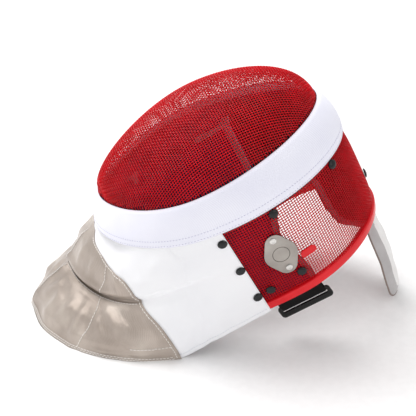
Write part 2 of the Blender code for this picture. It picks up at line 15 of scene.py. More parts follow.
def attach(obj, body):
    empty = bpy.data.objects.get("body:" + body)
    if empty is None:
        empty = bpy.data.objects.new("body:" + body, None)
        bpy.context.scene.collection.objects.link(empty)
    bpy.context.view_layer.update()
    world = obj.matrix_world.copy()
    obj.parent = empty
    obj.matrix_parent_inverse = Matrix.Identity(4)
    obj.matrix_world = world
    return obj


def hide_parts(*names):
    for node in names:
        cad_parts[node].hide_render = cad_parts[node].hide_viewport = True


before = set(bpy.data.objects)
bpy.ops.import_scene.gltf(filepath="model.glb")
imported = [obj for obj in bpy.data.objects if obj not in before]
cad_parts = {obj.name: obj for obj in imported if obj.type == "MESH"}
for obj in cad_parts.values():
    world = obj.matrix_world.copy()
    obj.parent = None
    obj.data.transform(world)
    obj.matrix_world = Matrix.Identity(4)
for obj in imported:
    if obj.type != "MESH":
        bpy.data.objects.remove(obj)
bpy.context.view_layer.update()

# How the mask lies
TILT = radians(25.5)
REST = 190.7
SHIFT = -7.4

# Sizes shared with the CAD, in millimetres
DOME_HEIGHT = 50.9
DOME_APEX = 37.0
DOME_POWER = 2.09
BAND_DEPTH_CROWN = 46.0
BAND_DEPTH_CHIN = 26.0
RIM_DEPTH_CROWN = 140.0
RIM_DEPTH_EAR = 154.6
RIM_DEPTH_CHIN = 60.0
EAR_PLACE = -13.6
CROWN_BULGE = 4.6
CHIN_BULGE = 1.2
CROWN_WALL_BULGE = 3.2
BIB_REACH = 190.0
BIB_HALF_WIDTH = 107.0
COLLAR_PUFF = 4.0
HEM_TRIM = 2.0
EAR_HANG = 4.0

# Woven wire
PITCH = 2.66
FRONT_RADIUS = 0.45
SIDE_RADIUS = 0.5
WIRE_LIFT = 0.31
WIRE_INSET = 1.0
WIRE_SIDES = 5
FRONT_TURN = radians(11)
FRONT_ROWS = np.arange(-78, 60)
FRONT_COLUMNS = np.arange(-48, 49)

# Sewn pieces
BAND_WIDTH = 46.0
BIB_THICKNESS = 1.5
CLOTH_OFF = 1.9
FLOOR_GAP = 0.05

FLIP = np.array([1, -1, 1])

Ring = namedtuple("Ring", "length width chin widest chin_rise chin_run crown_run crown_rise")
RINGS = {
    "band_top": Ring(241.0, 185.4, 0.524, -0.075, 0.30, 0.56, 0.48, 0.47),
    "band_low": Ring(263.9, 199.4, 0.541, -0.133, 0.55, 0.44, 0.61, 0.42),
    "rim": Ring(255.6, 170.8, 0.537, 0.096, 0.55, 0.55, 0.545, 0.543),
}

BIB_MERIDIANS = [
    # seam_x, seam_y, seam_z, hem_x, hem_y, hem_z
    (-0.779, 0.000, 0.736, -1.000, 0.000, 1.0),
    (-0.712, 0.300, 0.738, -0.925, 0.435, 1.0),
    (-0.590, 0.570, 0.738, -0.735, 0.790, 1.0),
    (-0.440, 0.790, 0.695, -0.475, 0.975, 1.0),
    (-0.285, 0.900, 0.620, -0.230, 0.975, 1.0),
    (-0.085, 0.940, 0.525, 0.020, 0.910, 0.900),
]
BIB_ROWS = [
    # down, puff
    (0.00, 0.0),
    (0.30, 0.6),
    (0.62, 1.0),
    (0.88, 0.8),
    (1.00, -0.5),
    (1.14, 0.5),
    (1.42, 1.3),
    (1.74, 1.4),
    (2.00, 0.0),
]
LAME_EDGE = [
    # down, share
    (0.000, 0.020),
    (0.017, 0.025),
    (0.167, 0.065),
    (0.225, 0.150),
    (0.292, 0.265),
    (0.408, 0.345),
    (0.550, 0.455),
    (0.760, 0.505),
    (0.992, 0.545),
    (1.400, 0.642),
    (1.733, 0.682),
    (2.000, 0.695),
]
BACK_SEAM = [
    # down, share
    (0.05, 0.735),
    (0.39, 0.795),
    (1.07, 0.785),
    (1.94, 0.800),
]
NECK_SEAM = [
    # share, down, depth
    (0.000, 1.000, 4.6),
    (0.250, 1.000, 4.4),
    (0.400, 1.000, 2.6),
    (0.545, 1.000, 1.1),
    (0.665, 0.890, 0.9),
    (0.770, 1.010, 0.7),
    (0.900, 1.020, 0.0),
]


# Shapes of the mask

def to_row(points):
    """Millimetres in the mask's axes to metres in the row frame."""
    p = np.asarray(points, float)
    x = SHIFT + p[..., 0] * cos(TILT) - p[..., 2] * sin(TILT)
    z = REST + p[..., 0] * sin(TILT) + p[..., 2] * cos(TILT)
    return np.stack([x, p[..., 1], z], axis=-1) / 1000


def lying(x, y, z):
    """Distances along the row frame's axes to distances along the mask's."""
    return np.stack([x * cos(TILT) + z * sin(TILT), y, -x * sin(TILT) + z * cos(TILT)], axis=-1)


def from_row(points):
    """Metres in the row frame to millimetres in the mask's axes."""
    p = np.asarray(points, float) * 1000
    return lying(p[..., 0] - SHIFT, p[..., 1], p[..., 2] - REST)


def smooth(low, high, value):
    t = np.clip((value - low) / (high - low), 0, 1)
    return t * t * (3 - 2 * t)


def unit(vectors):
    return vectors / np.linalg.norm(vectors, axis=-1, keepdims=True)


def lengths(points, axis=0):
    """Distance of every point from the first one, along one axis of a line or a grid."""
    steps = np.linalg.norm(np.diff(points, axis=axis), axis=-1)
    return np.concatenate([0 * steps.take([0], axis), np.cumsum(steps, axis=axis)], axis=axis)


def at_places(at, places, points):
    """Points of a line at given places along it."""
    return np.stack([np.interp(at, places, points[:, k]) for k in range(points.shape[1])], axis=-1)


def curve_through(values, places):
    """Catmull-Rom curve through rows of values."""
    values = np.asarray(values, float)
    padded = np.vstack([2 * values[0] - values[1], values, 2 * values[-1] - values[-2]])
    places = np.asarray(places, float)
    first = np.clip(places.astype(int), 0, len(values) - 2)
    t = (places - first)[:, None]
    p0, p1, p2, p3 = (padded[first + k] for k in range(4))
    return 0.5 * (2 * p1 + (p2 - p0) * t + (2 * p0 - 5 * p1 + 4 * p2 - p3) * t ** 2
                  + (3 * p1 - p0 - 3 * p2 + p3) * t ** 3)


def ring_outline(ring):
    half = ring.width / 2
    chin = -ring.chin * ring.length
    crown = (1 - ring.chin) * ring.length
    widest = ring.widest * ring.length
    t = np.linspace(0, 1, 600)[:, None]

    def cubic(*points):
        weights = [(1 - t) ** 3, 3 * (1 - t) ** 2 * t, 3 * (1 - t) * t ** 2, t ** 3]
        return sum(weight * np.array(point, float) for weight, point in zip(weights, points))

    chin_handle = widest - ring.chin_run * (widest - chin)
    crown_handle = widest + ring.crown_run * (crown - widest)
    chin_side = cubic((chin, 0), (chin, ring.chin_rise * half), (chin_handle, half), (widest, half))
    crown_side = cubic((widest, half), (crown_handle, half), (crown, ring.crown_rise * half), (crown, 0))
    return np.vstack([chin_side, crown_side[1:]])


OUTLINES = {name: ring_outline(ring) for name, ring in RINGS.items()}


def half_width(name, along):
    outline = OUTLINES[name]
    return np.interp(along, outline[:, 0], outline[:, 1])


def band_depth(along):
    ring = RINGS["band_low"]
    share = ((1 - ring.chin) * ring.length - along) / ring.length
    return BAND_DEPTH_CROWN - (BAND_DEPTH_CROWN - BAND_DEPTH_CHIN) * share ** 2


def rim_depth(along):
    ring = RINGS["rim"]
    crown = (1 - ring.chin) * ring.length
    chin = -ring.chin * ring.length
    behind = RIM_DEPTH_CROWN + (RIM_DEPTH_EAR - RIM_DEPTH_CROWN) * (crown - along) / (crown - EAR_PLACE)
    ahead = np.clip((EAR_PLACE - along) / (EAR_PLACE - chin), 0, 1) ** 1.2
    below = RIM_DEPTH_EAR - (RIM_DEPTH_EAR - RIM_DEPTH_CHIN) * ahead
    return np.where(along > EAR_PLACE, behind, below)


def ring_row(name, shares):
    ring = RINGS[name]
    along = -ring.chin * ring.length + ring.length * (1 - np.cos(pi * shares)) / 2
    across = half_width(name, along)
    across = np.where((shares <= 0) | (shares >= 1), 0, across)
    depth = {"band_top": lambda a: 0 * a, "band_low": band_depth, "rim": rim_depth}[name](along)
    return np.stack([along, across, -depth], axis=-1)


def outward(row, shares):
    run = np.gradient(row, axis=0)
    side = np.stack([-run[:, 1], run[:, 0], 0 * run[:, 0]], axis=-1)
    side[shares <= 0] = (-1, 0, 0)
    side[shares >= 1] = (1, 0, 0)
    return unit(side)


def wall_row(place, shares):
    """A row of the wall on the far side: -1 at the band's top edge, 0 at its lower edge, 1 at the rim."""
    low = ring_row("band_low", shares)
    ends = ring_row("band_low", np.array([0.0, 1.0]))
    crownward = (low[:, 0] - ends[0, 0]) / (ends[1, 0] - ends[0, 0])
    if place > 0:
        row = low + (ring_row("rim", shares) - low) * place
        bulge = CROWN_WALL_BULGE * crownward ** 3 * (1 - (2 * place - 1) ** 4)
    else:
        share = place + 1
        top = ring_row("band_top", shares)
        row = top + (low - top) * share
        bulge = (CHIN_BULGE + (CROWN_BULGE - CHIN_BULGE) * crownward ** 2) * 4 * share * (1 - share)
    return row + outward(row, shares) * bulge[:, None]


def wall(places, shares):
    return np.array([wall_row(place, shares) for place in places])


def grid_normals(grid):
    """Unit normals of a grid on the far half, turned away from the inside."""
    cross = np.cross(np.gradient(grid, axis=1), np.gradient(grid, axis=0))
    middle = np.abs(grid[..., 1]) < 0.02
    cross[..., 1] = np.where(middle, 0, cross[..., 1])
    cross /= np.maximum(np.linalg.norm(cross, axis=-1), 1e-9)[..., None]
    facing = np.sum(cross * (grid - np.array([0, 0, -BAND_DEPTH_CROWN])), axis=-1)
    return cross * (1 if facing.sum() > 0 else -1)


def even_shares(place, first, last, count):
    """Shares at even distances along a row of the wall, and the row's length."""
    fine = np.linspace(first, last, 1500)
    length = lengths(wall_row(place, fine))
    return np.interp(np.linspace(0, length[-1], count), length, fine), length[-1]


EAR_SHARE = float(np.arccos(1 - 2 * (EAR_PLACE / RINGS["rim"].length + RINGS["rim"].chin)) / pi)


def bib_surface(downs, ts):
    """The bib's outer side: down counts to 1 at the neck seam and 2 at the hem, t from front to ear."""
    downs, ts = np.asarray(downs), np.asarray(ts)
    count = len(BIB_MERIDIANS)
    table = np.array(BIB_MERIDIANS) * np.array([BIB_REACH, BIB_HALF_WIDTH, -REST] * 2)
    table[:-1, 5] -= HEM_TRIM
    ear_rows = wall([0.0, 0.5, 1.0], np.array([EAR_SHARE - 0.02, EAR_SHARE, EAR_SHARE + 0.02]))
    ear = ear_rows[:, 1] + grid_normals(ear_rows)[:, 1] * CLOTH_OFF
    seams = np.vstack([lying(*table[:, :3].T), ear[1]])
    hems = np.vstack([lying(*table[:, 3:].T), ear[2] + np.array([0, 0, -EAR_HANG])])
    top_grid = wall([-0.02, 0.0, 0.02], ts * EAR_SHARE)
    top_normals = grid_normals(top_grid)[1]
    top = top_grid[1] + top_normals * CLOTH_OFF + np.array([0, 0, -0.5])
    tuck = top_normals * -0.6 + np.array([0, 0, 2.2])
    seam = curve_through(seams, ts * count)
    hem = curve_through(hems, ts * count)
    grid = np.array([top + (seam - top) * d + tuck * max(1 - d / 0.05, 0) if d <= 1
                     else seam + (hem - seam) * (d - 1) for d in downs])
    puff = np.interp(downs, *np.array(BIB_ROWS).T)
    amount = puff[:, None] * (1 - ts[None, :] ** 3) * COLLAR_PUFF
    return grid + grid_normals(grid) * amount[..., None]


def mirrored(grid):
    """A half grid carried over to both sides: near side first, then the far side."""
    return np.concatenate([(grid[:, ::-1] * FLIP)[:, :-1], grid], axis=1)


def around(line):
    """A line of the far half, carried along the near side and back along the far side."""
    return np.concatenate([line[:-1] * FLIP, line[::-1]])


# Mesh helpers

def linked(name, data):
    """A new object in the scene."""
    obj = bpy.data.objects.new(name, data)
    bpy.context.scene.collection.objects.link(obj)
    return obj


def new_object(name, points, faces, look, replaces=(), uv=None):
    """A piece from points in the mask's axes. It rides on the mask and takes the finish it is given."""
    mesh = bpy.data.meshes.new(name)
    mesh.from_pydata(to_row(points).tolist(), [], faces)
    if uv is not None:
        layer = mesh.uv_layers.new(name="cloth")
        loops = np.zeros(len(mesh.loops), np.int32)
        mesh.loops.foreach_get("vertex_index", loops)
        layer.data.foreach_set("uv", (uv[loops] / 1000).astype(np.float32).ravel())
    mesh.materials.append(look)
    mesh.shade_smooth()
    obj = linked(name, mesh)
    work = bmesh.new()
    work.from_mesh(mesh)
    bmesh.ops.recalc_face_normals(work, faces=work.faces)
    work.to_mesh(mesh)
    work.free()
    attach(obj, "root")
    if replaces:
        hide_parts(*replaces)
    return obj


def repaint(obj, look, values, limit):
    """Gives another finish to the faces whose points' mean value is below the limit."""
    mesh = obj.data
    mesh.materials.append(look)
    second = len(mesh.materials) - 1
    for face in mesh.polygons:
        if np.mean(values[list(face.vertices)]) < limit:
            face.material_index = second


def numbered(rows, columns, base=0, closed=True):
    """Numbers of the points of a grid, its first column repeated at the end if it is closed."""
    index = base + np.arange(rows * columns).reshape(rows, columns)
    return np.concatenate([index, index[:, :1]], axis=1) if closed else index


def grid_faces(index):
    corners = [index[:-1, :-1], index[:-1, 1:], index[1:, 1:], index[1:, :-1]]
    return np.stack(corners, axis=-1).reshape(-1, 4)


def tubes(name, lines, radius, sides, look, replaces=()):
    """Round wires in one mesh. Each line is its points and the normals of what it lies on."""
    points = []
    quads = []
    caps = []
    turn = np.arange(sides) * 2 * pi / sides + 0.3
    base = 0
    for line, normal in lines:
        along = unit(np.gradient(line, axis=0))
        side = unit(np.cross(along, normal))
        up = np.cross(side, along)
        ring = np.cos(turn)[None, :, None] * side[:, None] + np.sin(turn)[None, :, None] * up[:, None]
        points.append((line[:, None] + ring * radius).reshape(-1, 3))
        index = numbered(len(line), sides, base)
        quads.append(grid_faces(index))
        caps += index[[0, -1], :-1].tolist()
        base += len(line) * sides
    return new_object(name, np.vstack(points), np.vstack(quads).tolist() + caps, look, replaces)


def shell(name, outer, inner, look, slot, replaces=(), closed=False, uv=None):
    """A closed cloth body between two grids of the same size, open or closed round its columns."""
    points = np.concatenate([outer.reshape(-1, 3), inner.reshape(-1, 3)])
    offset = len(points) // 2
    index = numbered(*outer.shape[:2], closed=closed)
    top = grid_faces(index)
    quads = [top, top[:, ::-1] + offset]
    for line in (index[0], index[-1]):
        p, q = line[:-1], line[1:]
        quads.append(np.stack([p, p + offset, q + offset, q], axis=1))
    if not closed:
        for line in (index[:, 0], index[:, -1]):
            p, q = line[:-1], line[1:]
            quads.append(np.stack([p, q, q + offset, p + offset], axis=1))
    if uv is not None:
        uv = np.concatenate([uv.reshape(-1, 2), uv.reshape(-1, 2)])
    return new_object(name, points, np.vstack(quads).tolist(), look, replaces, uv)


def lengths_uv(grid):
    """Distances along the rows and down the columns of a grid, for weaves of a true scale."""
    across = lengths(grid, 1)
    return np.stack([across - across[:, across.shape[1] // 2][:, None], lengths(grid, 0)], axis=-1)


def ring_faces(count, sides, closed=False):
    """Faces between rings of points, with flat ends unless the last ring joins the first."""
    index = numbered(count, sides)
    if closed:
        return grid_faces(np.vstack([index, index[:1]])).tolist()
    return grid_faces(index).tolist() + index[[0, -1], :-1].tolist()


def sweep(name, line, side, up, profile, look, replaces=()):
    """A solid of a constant profile carried along a line, its profile given as side and up distances."""
    profile = np.asarray(profile, float)
    rings = line[:, None] + side[:, None] * profile[None, :, :1] + up[:, None] * profile[None, :, 1:]
    faces = ring_faces(len(line), len(profile))
    return new_object(name, rings.reshape(-1, 3), faces, look, replaces)


def rounded(width, height, radius, steps=3, middle=(0, 0)):
    """Profile of a rectangle with rounded corners."""
    result = []
    for corner, (sx, sy) in enumerate(((1, 1), (-1, 1), (-1, -1), (1, -1))):
        for step in range(steps + 1):
            angle = pi / 2 * (corner + step / steps)
            result.append((middle[0] + sx * (width / 2 - radius) + radius * cos(angle),
                           middle[1] + sy * (height / 2 - radius) + radius * sin(angle)))
    return result


def resample(line, normals, spacing):
    """A line and its normals at even distances."""
    length = lengths(line)
    at = np.linspace(0, length[-1], max(int(length[-1] / spacing), 2))
    return at_places(at, length, line), unit(at_places(at, length, normals))


def stitches(name, seams, look, length=2.1, pitch=3.0, radius=0.24, lift=0.08):
    """Thread stitches along seams, each one a short round bead lying on the cloth."""
    lines = []
    for line, normals in seams:
        points, turned = resample(line, normals, pitch / 6)
        span = max(int(round(6 * length / pitch)), 3)
        for start in range(0, len(points) - span, 6):
            part = slice(start, start + span + 1)
            arch = np.sin(np.linspace(0, pi, span + 1)) ** 0.5
            bead = points[part] + turned[part] * (arch * (lift + radius * 0.6) - radius * 0.4)[:, None]
            lines.append((bead, turned[part]))
    tubes(name, lines, radius, 5, look)


# Materials

def feed(tree, value, socket):
    """Sets a socket to a value, or links it to another node's output."""
    if isinstance(value, (int, float, tuple)):
        socket.default_value = value
    else:
        tree.links.new(value, socket)


def add(tree, kind, **sockets):
    node = tree.nodes.new("ShaderNode" + kind)
    for name, value in sockets.items():
        feed(tree, value, node.inputs[name])
    return node


def node_math(tree, operation, *values):
    node = tree.nodes.new("ShaderNodeMath")
    node.operation = operation
    for value, socket in zip(values, node.inputs):
        feed(tree, value, socket)
    return node.outputs[0]


def noise(tree, scale, detail=3.0, stretch=None):
    source = tree.nodes.new("ShaderNodeTexCoord").outputs["Object"]
    if stretch:
        source = add(tree, "Mapping", Vector=source, Scale=stretch).outputs[0]
    return add(tree, "TexNoise", Vector=source, Scale=scale, Detail=detail).outputs["Fac"]


def ramp(tree, value, stops):
    node = add(tree, "ValToRGB", Fac=value)
    elements = node.color_ramp.elements
    while len(elements) < len(stops):
        elements.new(0.5)
    for element, (place, color) in zip(elements, stops):
        element.position = place
        element.color = (*color, 1)
    return node.outputs["Color"]


def weave(tree, across, down, twill=0.0):
    """Heights of a cloth's warp and of its plain weave, from its yarn pitches in metres."""
    uv = tree.nodes.new("ShaderNodeUVMap")
    uv.uv_map = "cloth"
    parts = add(tree, "SeparateXYZ", Vector=uv.outputs[0])
    x, y = parts.outputs[0], parts.outputs[1]
    if twill:
        x = node_math(tree, "MULTIPLY_ADD", y, twill, x)
    warp, weft = (node_math(tree, "SINE", node_math(tree, "MULTIPLY", place, 2 * pi / pitch))
                  for place, pitch in ((x, across), (y, down)))
    return warp, node_math(tree, "MULTIPLY", warp, weft)


def set_sockets(material, **sockets):
    tree = material.node_tree
    for name, value in sockets.items():
        feed(tree, value, tree.nodes["Principled BSDF"].inputs[name.replace("_", " ")])
    return material


def relief(material, *layers):
    """Bumps on a material, one under the other: each is a height, a strength and a distance."""
    tree = material.node_tree
    normal = None
    for height, strength, distance in layers:
        node = add(tree, "Bump", Height=height, Strength=strength, Distance=distance)
        if normal:
            tree.links.new(normal, node.inputs["Normal"])
        normal = node.outputs["Normal"]
    return set_sockets(material, Normal=normal)


def principled(name, **sockets):
    material = bpy.data.materials.new(name)
    material.use_nodes = True
    return set_sockets(material, **sockets)


def look(name, first, second, roughness, metallic=0.0, scale=120.0, spread=0.2, **sockets):
    """A Principled material whose colour varies softly between two colours."""
    material = principled(name, Roughness=roughness, Metallic=metallic, **sockets)
    tree = material.node_tree
    color = ramp(tree, noise(tree, scale), [(0.5 - spread, first), (0.5 + spread, second)])
    return set_sockets(material, Base_Color=color)


def rim_plastic():
    result = look("rim_plastic", (0.68, 0.006, 0.012), (0.78, 0.010, 0.018), 0.24, scale=35,
                  Specular_IOR_Level=0.35)
    tree = result.node_tree
    return relief(result, (noise(tree, 1500), 0.15, 0.0002), (noise(tree, 45), 0.2, 0.001))


def ribbed_cloth():
    result = look("ribbed_cloth", (0.83, 0.83, 0.94), (0.88, 0.88, 0.97), 0.75, scale=25,
                  Sheen_Weight=0.3, Sheen_Roughness=0.5)
    warp, both = weave(result.node_tree, 0.0021, 0.0007)
    height = node_math(result.node_tree, "MULTIPLY_ADD", both, 0.25, warp)
    return relief(result, (height, 0.22, 0.00015))


def bib_cloth():
    result = look("bib_cloth", (0.89, 0.89, 0.92), (0.94, 0.94, 0.96), 0.8, scale=18,
                  Sheen_Weight=0.25, Sheen_Roughness=0.5)
    _, both = weave(result.node_tree, 0.0006, 0.0006, twill=0.5)
    return relief(result, (both, 0.3, 0.0001), (noise(result.node_tree, 55, 4), 0.25, 0.0012))


def lame_cloth():
    result = principled("lame_cloth", Metallic=0.7, Sheen_Weight=0.1, Coat_Weight=0.35, Coat_Roughness=0.3)
    tree = result.node_tree
    _, both = weave(tree, 0.0011, 0.0011)
    # The base colour follows the weave's threads, a real pattern, and big noise patches of lighter and darker
    # metal, which are painted sheen.
    weave_and_sheen = node_math(tree, "MULTIPLY_ADD", both, 0.14, noise(tree, 28, 4))
    color = ramp(tree, weave_and_sheen, [(0.25, (0.34, 0.28, 0.235)), (0.55, (0.46, 0.39, 0.34)),
                                (0.8, (0.62, 0.55, 0.48))])
    rough = node_math(tree, "MULTIPLY_ADD", noise(tree, 220), 0.16, 0.27)
    set_sockets(result, Base_Color=color, Roughness=rough)
    return relief(result, (noise(tree, 42), 0.36, 0.003), (both, 0.5, 0.00018))


def pad_cloth(name, first, second):
    result = look(name, first, second, 0.9, scale=80, Sheen_Weight=0.1, Sheen_Roughness=0.4)
    return relief(result, (noise(result.node_tree, 700), 0.5, 0.0005))


def plain_cloth(name, first, second):
    result = look(name, first, second, 0.8, scale=60, Sheen_Weight=0.3, Sheen_Roughness=0.4)
    return relief(result, (noise(result.node_tree, 900, 2), 0.4, 0.0003))


def hard(name, first, second, roughness, metallic=0.0, strength=0.1, **sockets):
    result = look(name, first, second, roughness, metallic, 90, **sockets)
    return relief(result, (noise(result.node_tree, 500), strength, 0.0002))


def badge_steel():
    result = look("badge_steel", (0.33, 0.30, 0.275), (0.44, 0.41, 0.375), 0.34, 0.92, 45)
    tree = result.node_tree
    streaks = noise(tree, 240, 4, stretch=(0.3, 4.0, 4.0))
    set_sockets(result, Roughness=node_math(tree, "MULTIPLY_ADD", streaks, 0.25, 0.26))
    return relief(result, (streaks, 0.2, 0.0003))


WIRE = look("wire_paint", (0.52, 0.003, 0.008), (0.64, 0.005, 0.012), 0.3, scale=60, spread=0.15,
            Specular_IOR_Level=0.17)
RIM = rim_plastic()
BAND = ribbed_cloth()
BIB = bib_cloth()
LAME = lame_cloth()
PAD = pad_cloth("pad_cloth", (0.008, 0.007, 0.040), (0.014, 0.012, 0.060))
PAD_BLACK = pad_cloth("pad_black", (0.006, 0.005, 0.008), (0.012, 0.010, 0.014))
BINDING = plain_cloth("binding_tape", (0.16, 0.18, 0.20), (0.22, 0.24, 0.27))
TONGUE = plain_cloth("tongue_outer", (0.78, 0.76, 0.75), (0.86, 0.85, 0.84))
# A darker grey copy of the tongue's white cloth: painted shade for the tongue's sloping flanks.
TONGUE_FLANK_SHADE = plain_cloth("tongue_flank_shade", (0.42, 0.40, 0.40), (0.49, 0.47, 0.47))
PIPING = plain_cloth("piping", (0.20, 0.15, 0.13), (0.28, 0.22, 0.19))
THREAD_WHITE = plain_cloth("thread_white", (0.70, 0.70, 0.78), (0.80, 0.80, 0.86))
THREAD_LILAC = plain_cloth("thread_lilac", (0.54, 0.54, 0.68), (0.62, 0.62, 0.76))
THREAD_PALE = plain_cloth("thread_pale", (0.84, 0.80, 0.76), (0.92, 0.89, 0.86))
WEBBING = hard("webbing", (0.004, 0.004, 0.004), (0.008, 0.008, 0.008), 0.7, Specular_IOR_Level=0.12)
PLASTIC = hard("black_plastic", (0.004, 0.004, 0.004), (0.007, 0.007, 0.007), 0.2, strength=0.15,
               Specular_IOR_Level=0.3)
ENAMEL = hard("black_enamel", (0.005, 0.006, 0.007), (0.009, 0.010, 0.011), 0.15, Specular_IOR_Level=0.35)
STEEL = badge_steel()
GROOVE = hard("engraving", (0.10, 0.09, 0.08), (0.15, 0.14, 0.12), 0.5, 0.5)
RIVET_STEEL = hard("rivet_steel", (0.62, 0.60, 0.57), (0.74, 0.72, 0.69), 0.25, 0.9)


# Woven wire

def weave_lines(points, normals, valid, lift):
    """Wires along the rows of a grid of crossings, going over and under in turn."""
    lines = []
    for row in range(points.shape[0]):
        cells = np.flatnonzero(valid[row])
        if len(cells) < 3:
            continue
        cells = np.arange(cells[0], cells[-1] + 1)
        line = points[row, cells]
        normal = normals[row, cells]
        sign = np.where((cells + row) % 2 == 0, 1.0, -1.0)
        step = np.gradient(line, axis=0) * 0.23
        before = line - step + normal * (sign * lift)[:, None]
        after = line + step + normal * (sign * lift)[:, None]
        woven = np.stack([before, after], axis=1).reshape(-1, 3)
        lines.append((woven, np.repeat(normal, 2, axis=0)))
    return lines


def mesh_wires(names, points, normals, valid, radius, replaces, ends=list):
    """The wires of a mesh both ways. Those of the first way replace its closed shell."""
    across = weave_lines(points, normals, valid, WIRE_LIFT)
    along = weave_lines(points.transpose(1, 0, 2), normals.transpose(1, 0, 2), valid.T, -WIRE_LIFT)
    tubes(names[0], ends(across), radius, WIRE_SIDES, WIRE, replaces)
    tubes(names[1], ends(along), radius, WIRE_SIDES, WIRE)


def dome_share(u, y):
    """Distance from the dome's apex as a share of the way to the band's top edge."""
    outline = OUTLINES["band_top"]
    angles = np.arctan2(outline[:, 1], outline[:, 0] - DOME_APEX)[::-1]
    reach = np.hypot(outline[:, 1], outline[:, 0] - DOME_APEX)[::-1]
    return np.hypot(u - DOME_APEX, y) / np.interp(np.arctan2(np.abs(y), u - DOME_APEX), angles, reach)


def dome_point(u, y):
    share = np.clip(dome_share(u, y), 0, 1)
    return DOME_HEIGHT * (1 - share ** DOME_POWER) ** (1 / DOME_POWER)


def dome_normal(points):
    def level(u, y, f):
        return dome_share(u, y) ** DOME_POWER + (np.maximum(f, 0) / DOME_HEIGHT) ** DOME_POWER

    u, y, f = points[..., 0], points[..., 1], points[..., 2]
    step = 0.05
    slope = np.stack([level(u + step, y, f) - level(u - step, y, f),
                      level(u, y + step, f) - level(u, y - step, f),
                      level(u, y, f + step) - level(u, y, f - step)], axis=-1)
    return slope / np.maximum(np.linalg.norm(slope, axis=-1), 1e-9)[..., None]


def front_wires():
    across_way = np.array([-sin(FRONT_TURN), cos(FRONT_TURN)])
    along_way = np.array([cos(FRONT_TURN), sin(FRONT_TURN)])
    apex = np.array([DOME_APEX, 0])

    def run_over(start, way, far):
        """Distances over the dome along a line in the face's plane, both ways from its start."""
        t = np.linspace(-far, far, 1601)
        spots = start + t[:, None] * way
        f = dome_point(spots[:, 0], spots[:, 1])
        length = np.concatenate([[0], np.cumsum(np.hypot(np.diff(t), np.diff(f)))])
        return t, length - length[len(t) // 2]

    t, length = run_over(apex, along_way, 200)
    starts = np.interp(FRONT_ROWS * PITCH, length, t)
    columns = FRONT_COLUMNS * PITCH
    points = np.zeros((len(starts), len(columns), 3))
    for index, start in enumerate(starts):
        base = apex + along_way * start
        t, length = run_over(base, across_way, 130)
        spots = base + np.interp(columns, length, t)[:, None] * across_way
        points[index] = np.column_stack([spots, dome_point(spots[:, 0], spots[:, 1])])
    valid = dome_share(points[..., 0], points[..., 1]) < 0.9995
    normals = dome_normal(points)

    def longer(lines):
        """Carries both ends of each wire on down behind the band."""
        result = []
        for line, normal in lines:
            ends = [end + unit(unit(end - inner) + np.array([0, 0, -1.6])) * 3.0
                    for end, inner in ((line[0], line[1]), (line[-1], line[-2]))]
            result.append((np.vstack([ends[0], line, ends[1]]), np.vstack([normal[:1], normal, normal[-1:]])))
        return result

    mesh_wires(("front_wires_across", "front_wires_along"), points - normals * WIRE_INSET, normals, valid,
          FRONT_RADIUS, ["front_mesh"], longer)


def side_wires():
    start = EAR_SHARE - 0.10
    count = int(even_shares(0.5, start, 1.0, 10)[1] / PITCH)
    shares, _ = even_shares(0.5, start, 1.0, count)
    half = wall(np.linspace(-0.25, 1.0, 48), shares)
    normals = grid_normals(half)
    points, turned = (np.concatenate([grid[:, :-1] * FLIP, grid[:, ::-1]], axis=1)
                      for grid in (half - normals * WIRE_INSET, normals))
    mesh_wires(("side_wires_around", "side_wires_upright"), points, turned, np.ones(points.shape[:2], bool),
          SIDE_RADIUS, ["side_mesh"])


front_wires()
side_wires()


# Seam band

def band():
    shares, _ = even_shares(-0.5, 0.0, 1.0, 240)
    share = np.linspace(0, 1, 22)
    half = wall(-1 + np.linspace(0, 1.008, len(share)), shares)
    normals = grid_normals(half)
    from_top = share * BAND_WIDTH
    edge = np.clip(np.minimum(from_top, 0.9 + (1 - share) * BAND_WIDTH) / 1.6, 0, 1)
    turned_edge = 0.25 * np.exp(-((from_top - 1.0) / 0.9) ** 2)
    sewn_line = 0.22 * np.exp(-(((1 - share) * 40 - 7.0) / 0.8) ** 2)
    lift = 0.5 + 1.9 * np.sqrt(edge) + turned_edge - sewn_line

    def round_trip(grid):
        return np.concatenate([grid[:, :-1] * FLIP, grid[:, :0:-1]], axis=1)

    full = round_trip(half + normals * lift[:, None, None])
    inner = round_trip(half + normals * 0.35)
    obj = shell("band_cloth", full, inner, BAND, "cloth_white", ["seam_band"], closed=True,
                uv=lengths_uv(full))
    seams = []
    for share_at in (0.965, 0.82):
        place = -1 + share_at
        rows = wall([place - 0.01, place, place + 0.01], shares)
        turned = grid_normals(rows)[1]
        seams.append((around(rows[1] + turned * 2.3), around(turned)))
    stitches("band_stitches", seams, THREAD_LILAC, length=1.6, pitch=3.2, radius=0.32)


band()


# Rim edging

def rim():
    shares, _ = even_shares(1.0, EAR_SHARE - 0.004, 1.0, 150)
    rows = wall([0.9, 0.97, 1.0], shares)
    side = around(grid_normals(rows)[-1])
    profile = rounded(6.6, 9.2, 1.5, 4, middle=(-1.0, -2.1))
    sweep("rim_edging", around(rows[-1]), side, around(unit(rows[2] - rows[0])), profile, RIM,
          ["rim_trim"])


rim()


# Bib and its metallic front

def soft_folds(points, down):
    """Soft folds and puckers of the skirt and the collar, out of the cloth, in millimetres."""
    x, y = points[..., 0], points[..., 1]
    skirt = smooth(1.0, 1.25, down) * smooth(2.02, 1.9, down)
    collar = smooth(0.05, 0.25, down) * smooth(1.0, 0.9, down)
    ripple = np.sin(y * 0.11 + x * 0.05 + 1.3) + 0.6 * np.sin(y * 0.23 - x * 0.13 + 0.4)
    ripple = ripple + 0.4 * np.sin(x * 0.31 + y * 0.07 + 2.2)
    return ripple * (0.7 * skirt + 0.35 * collar)


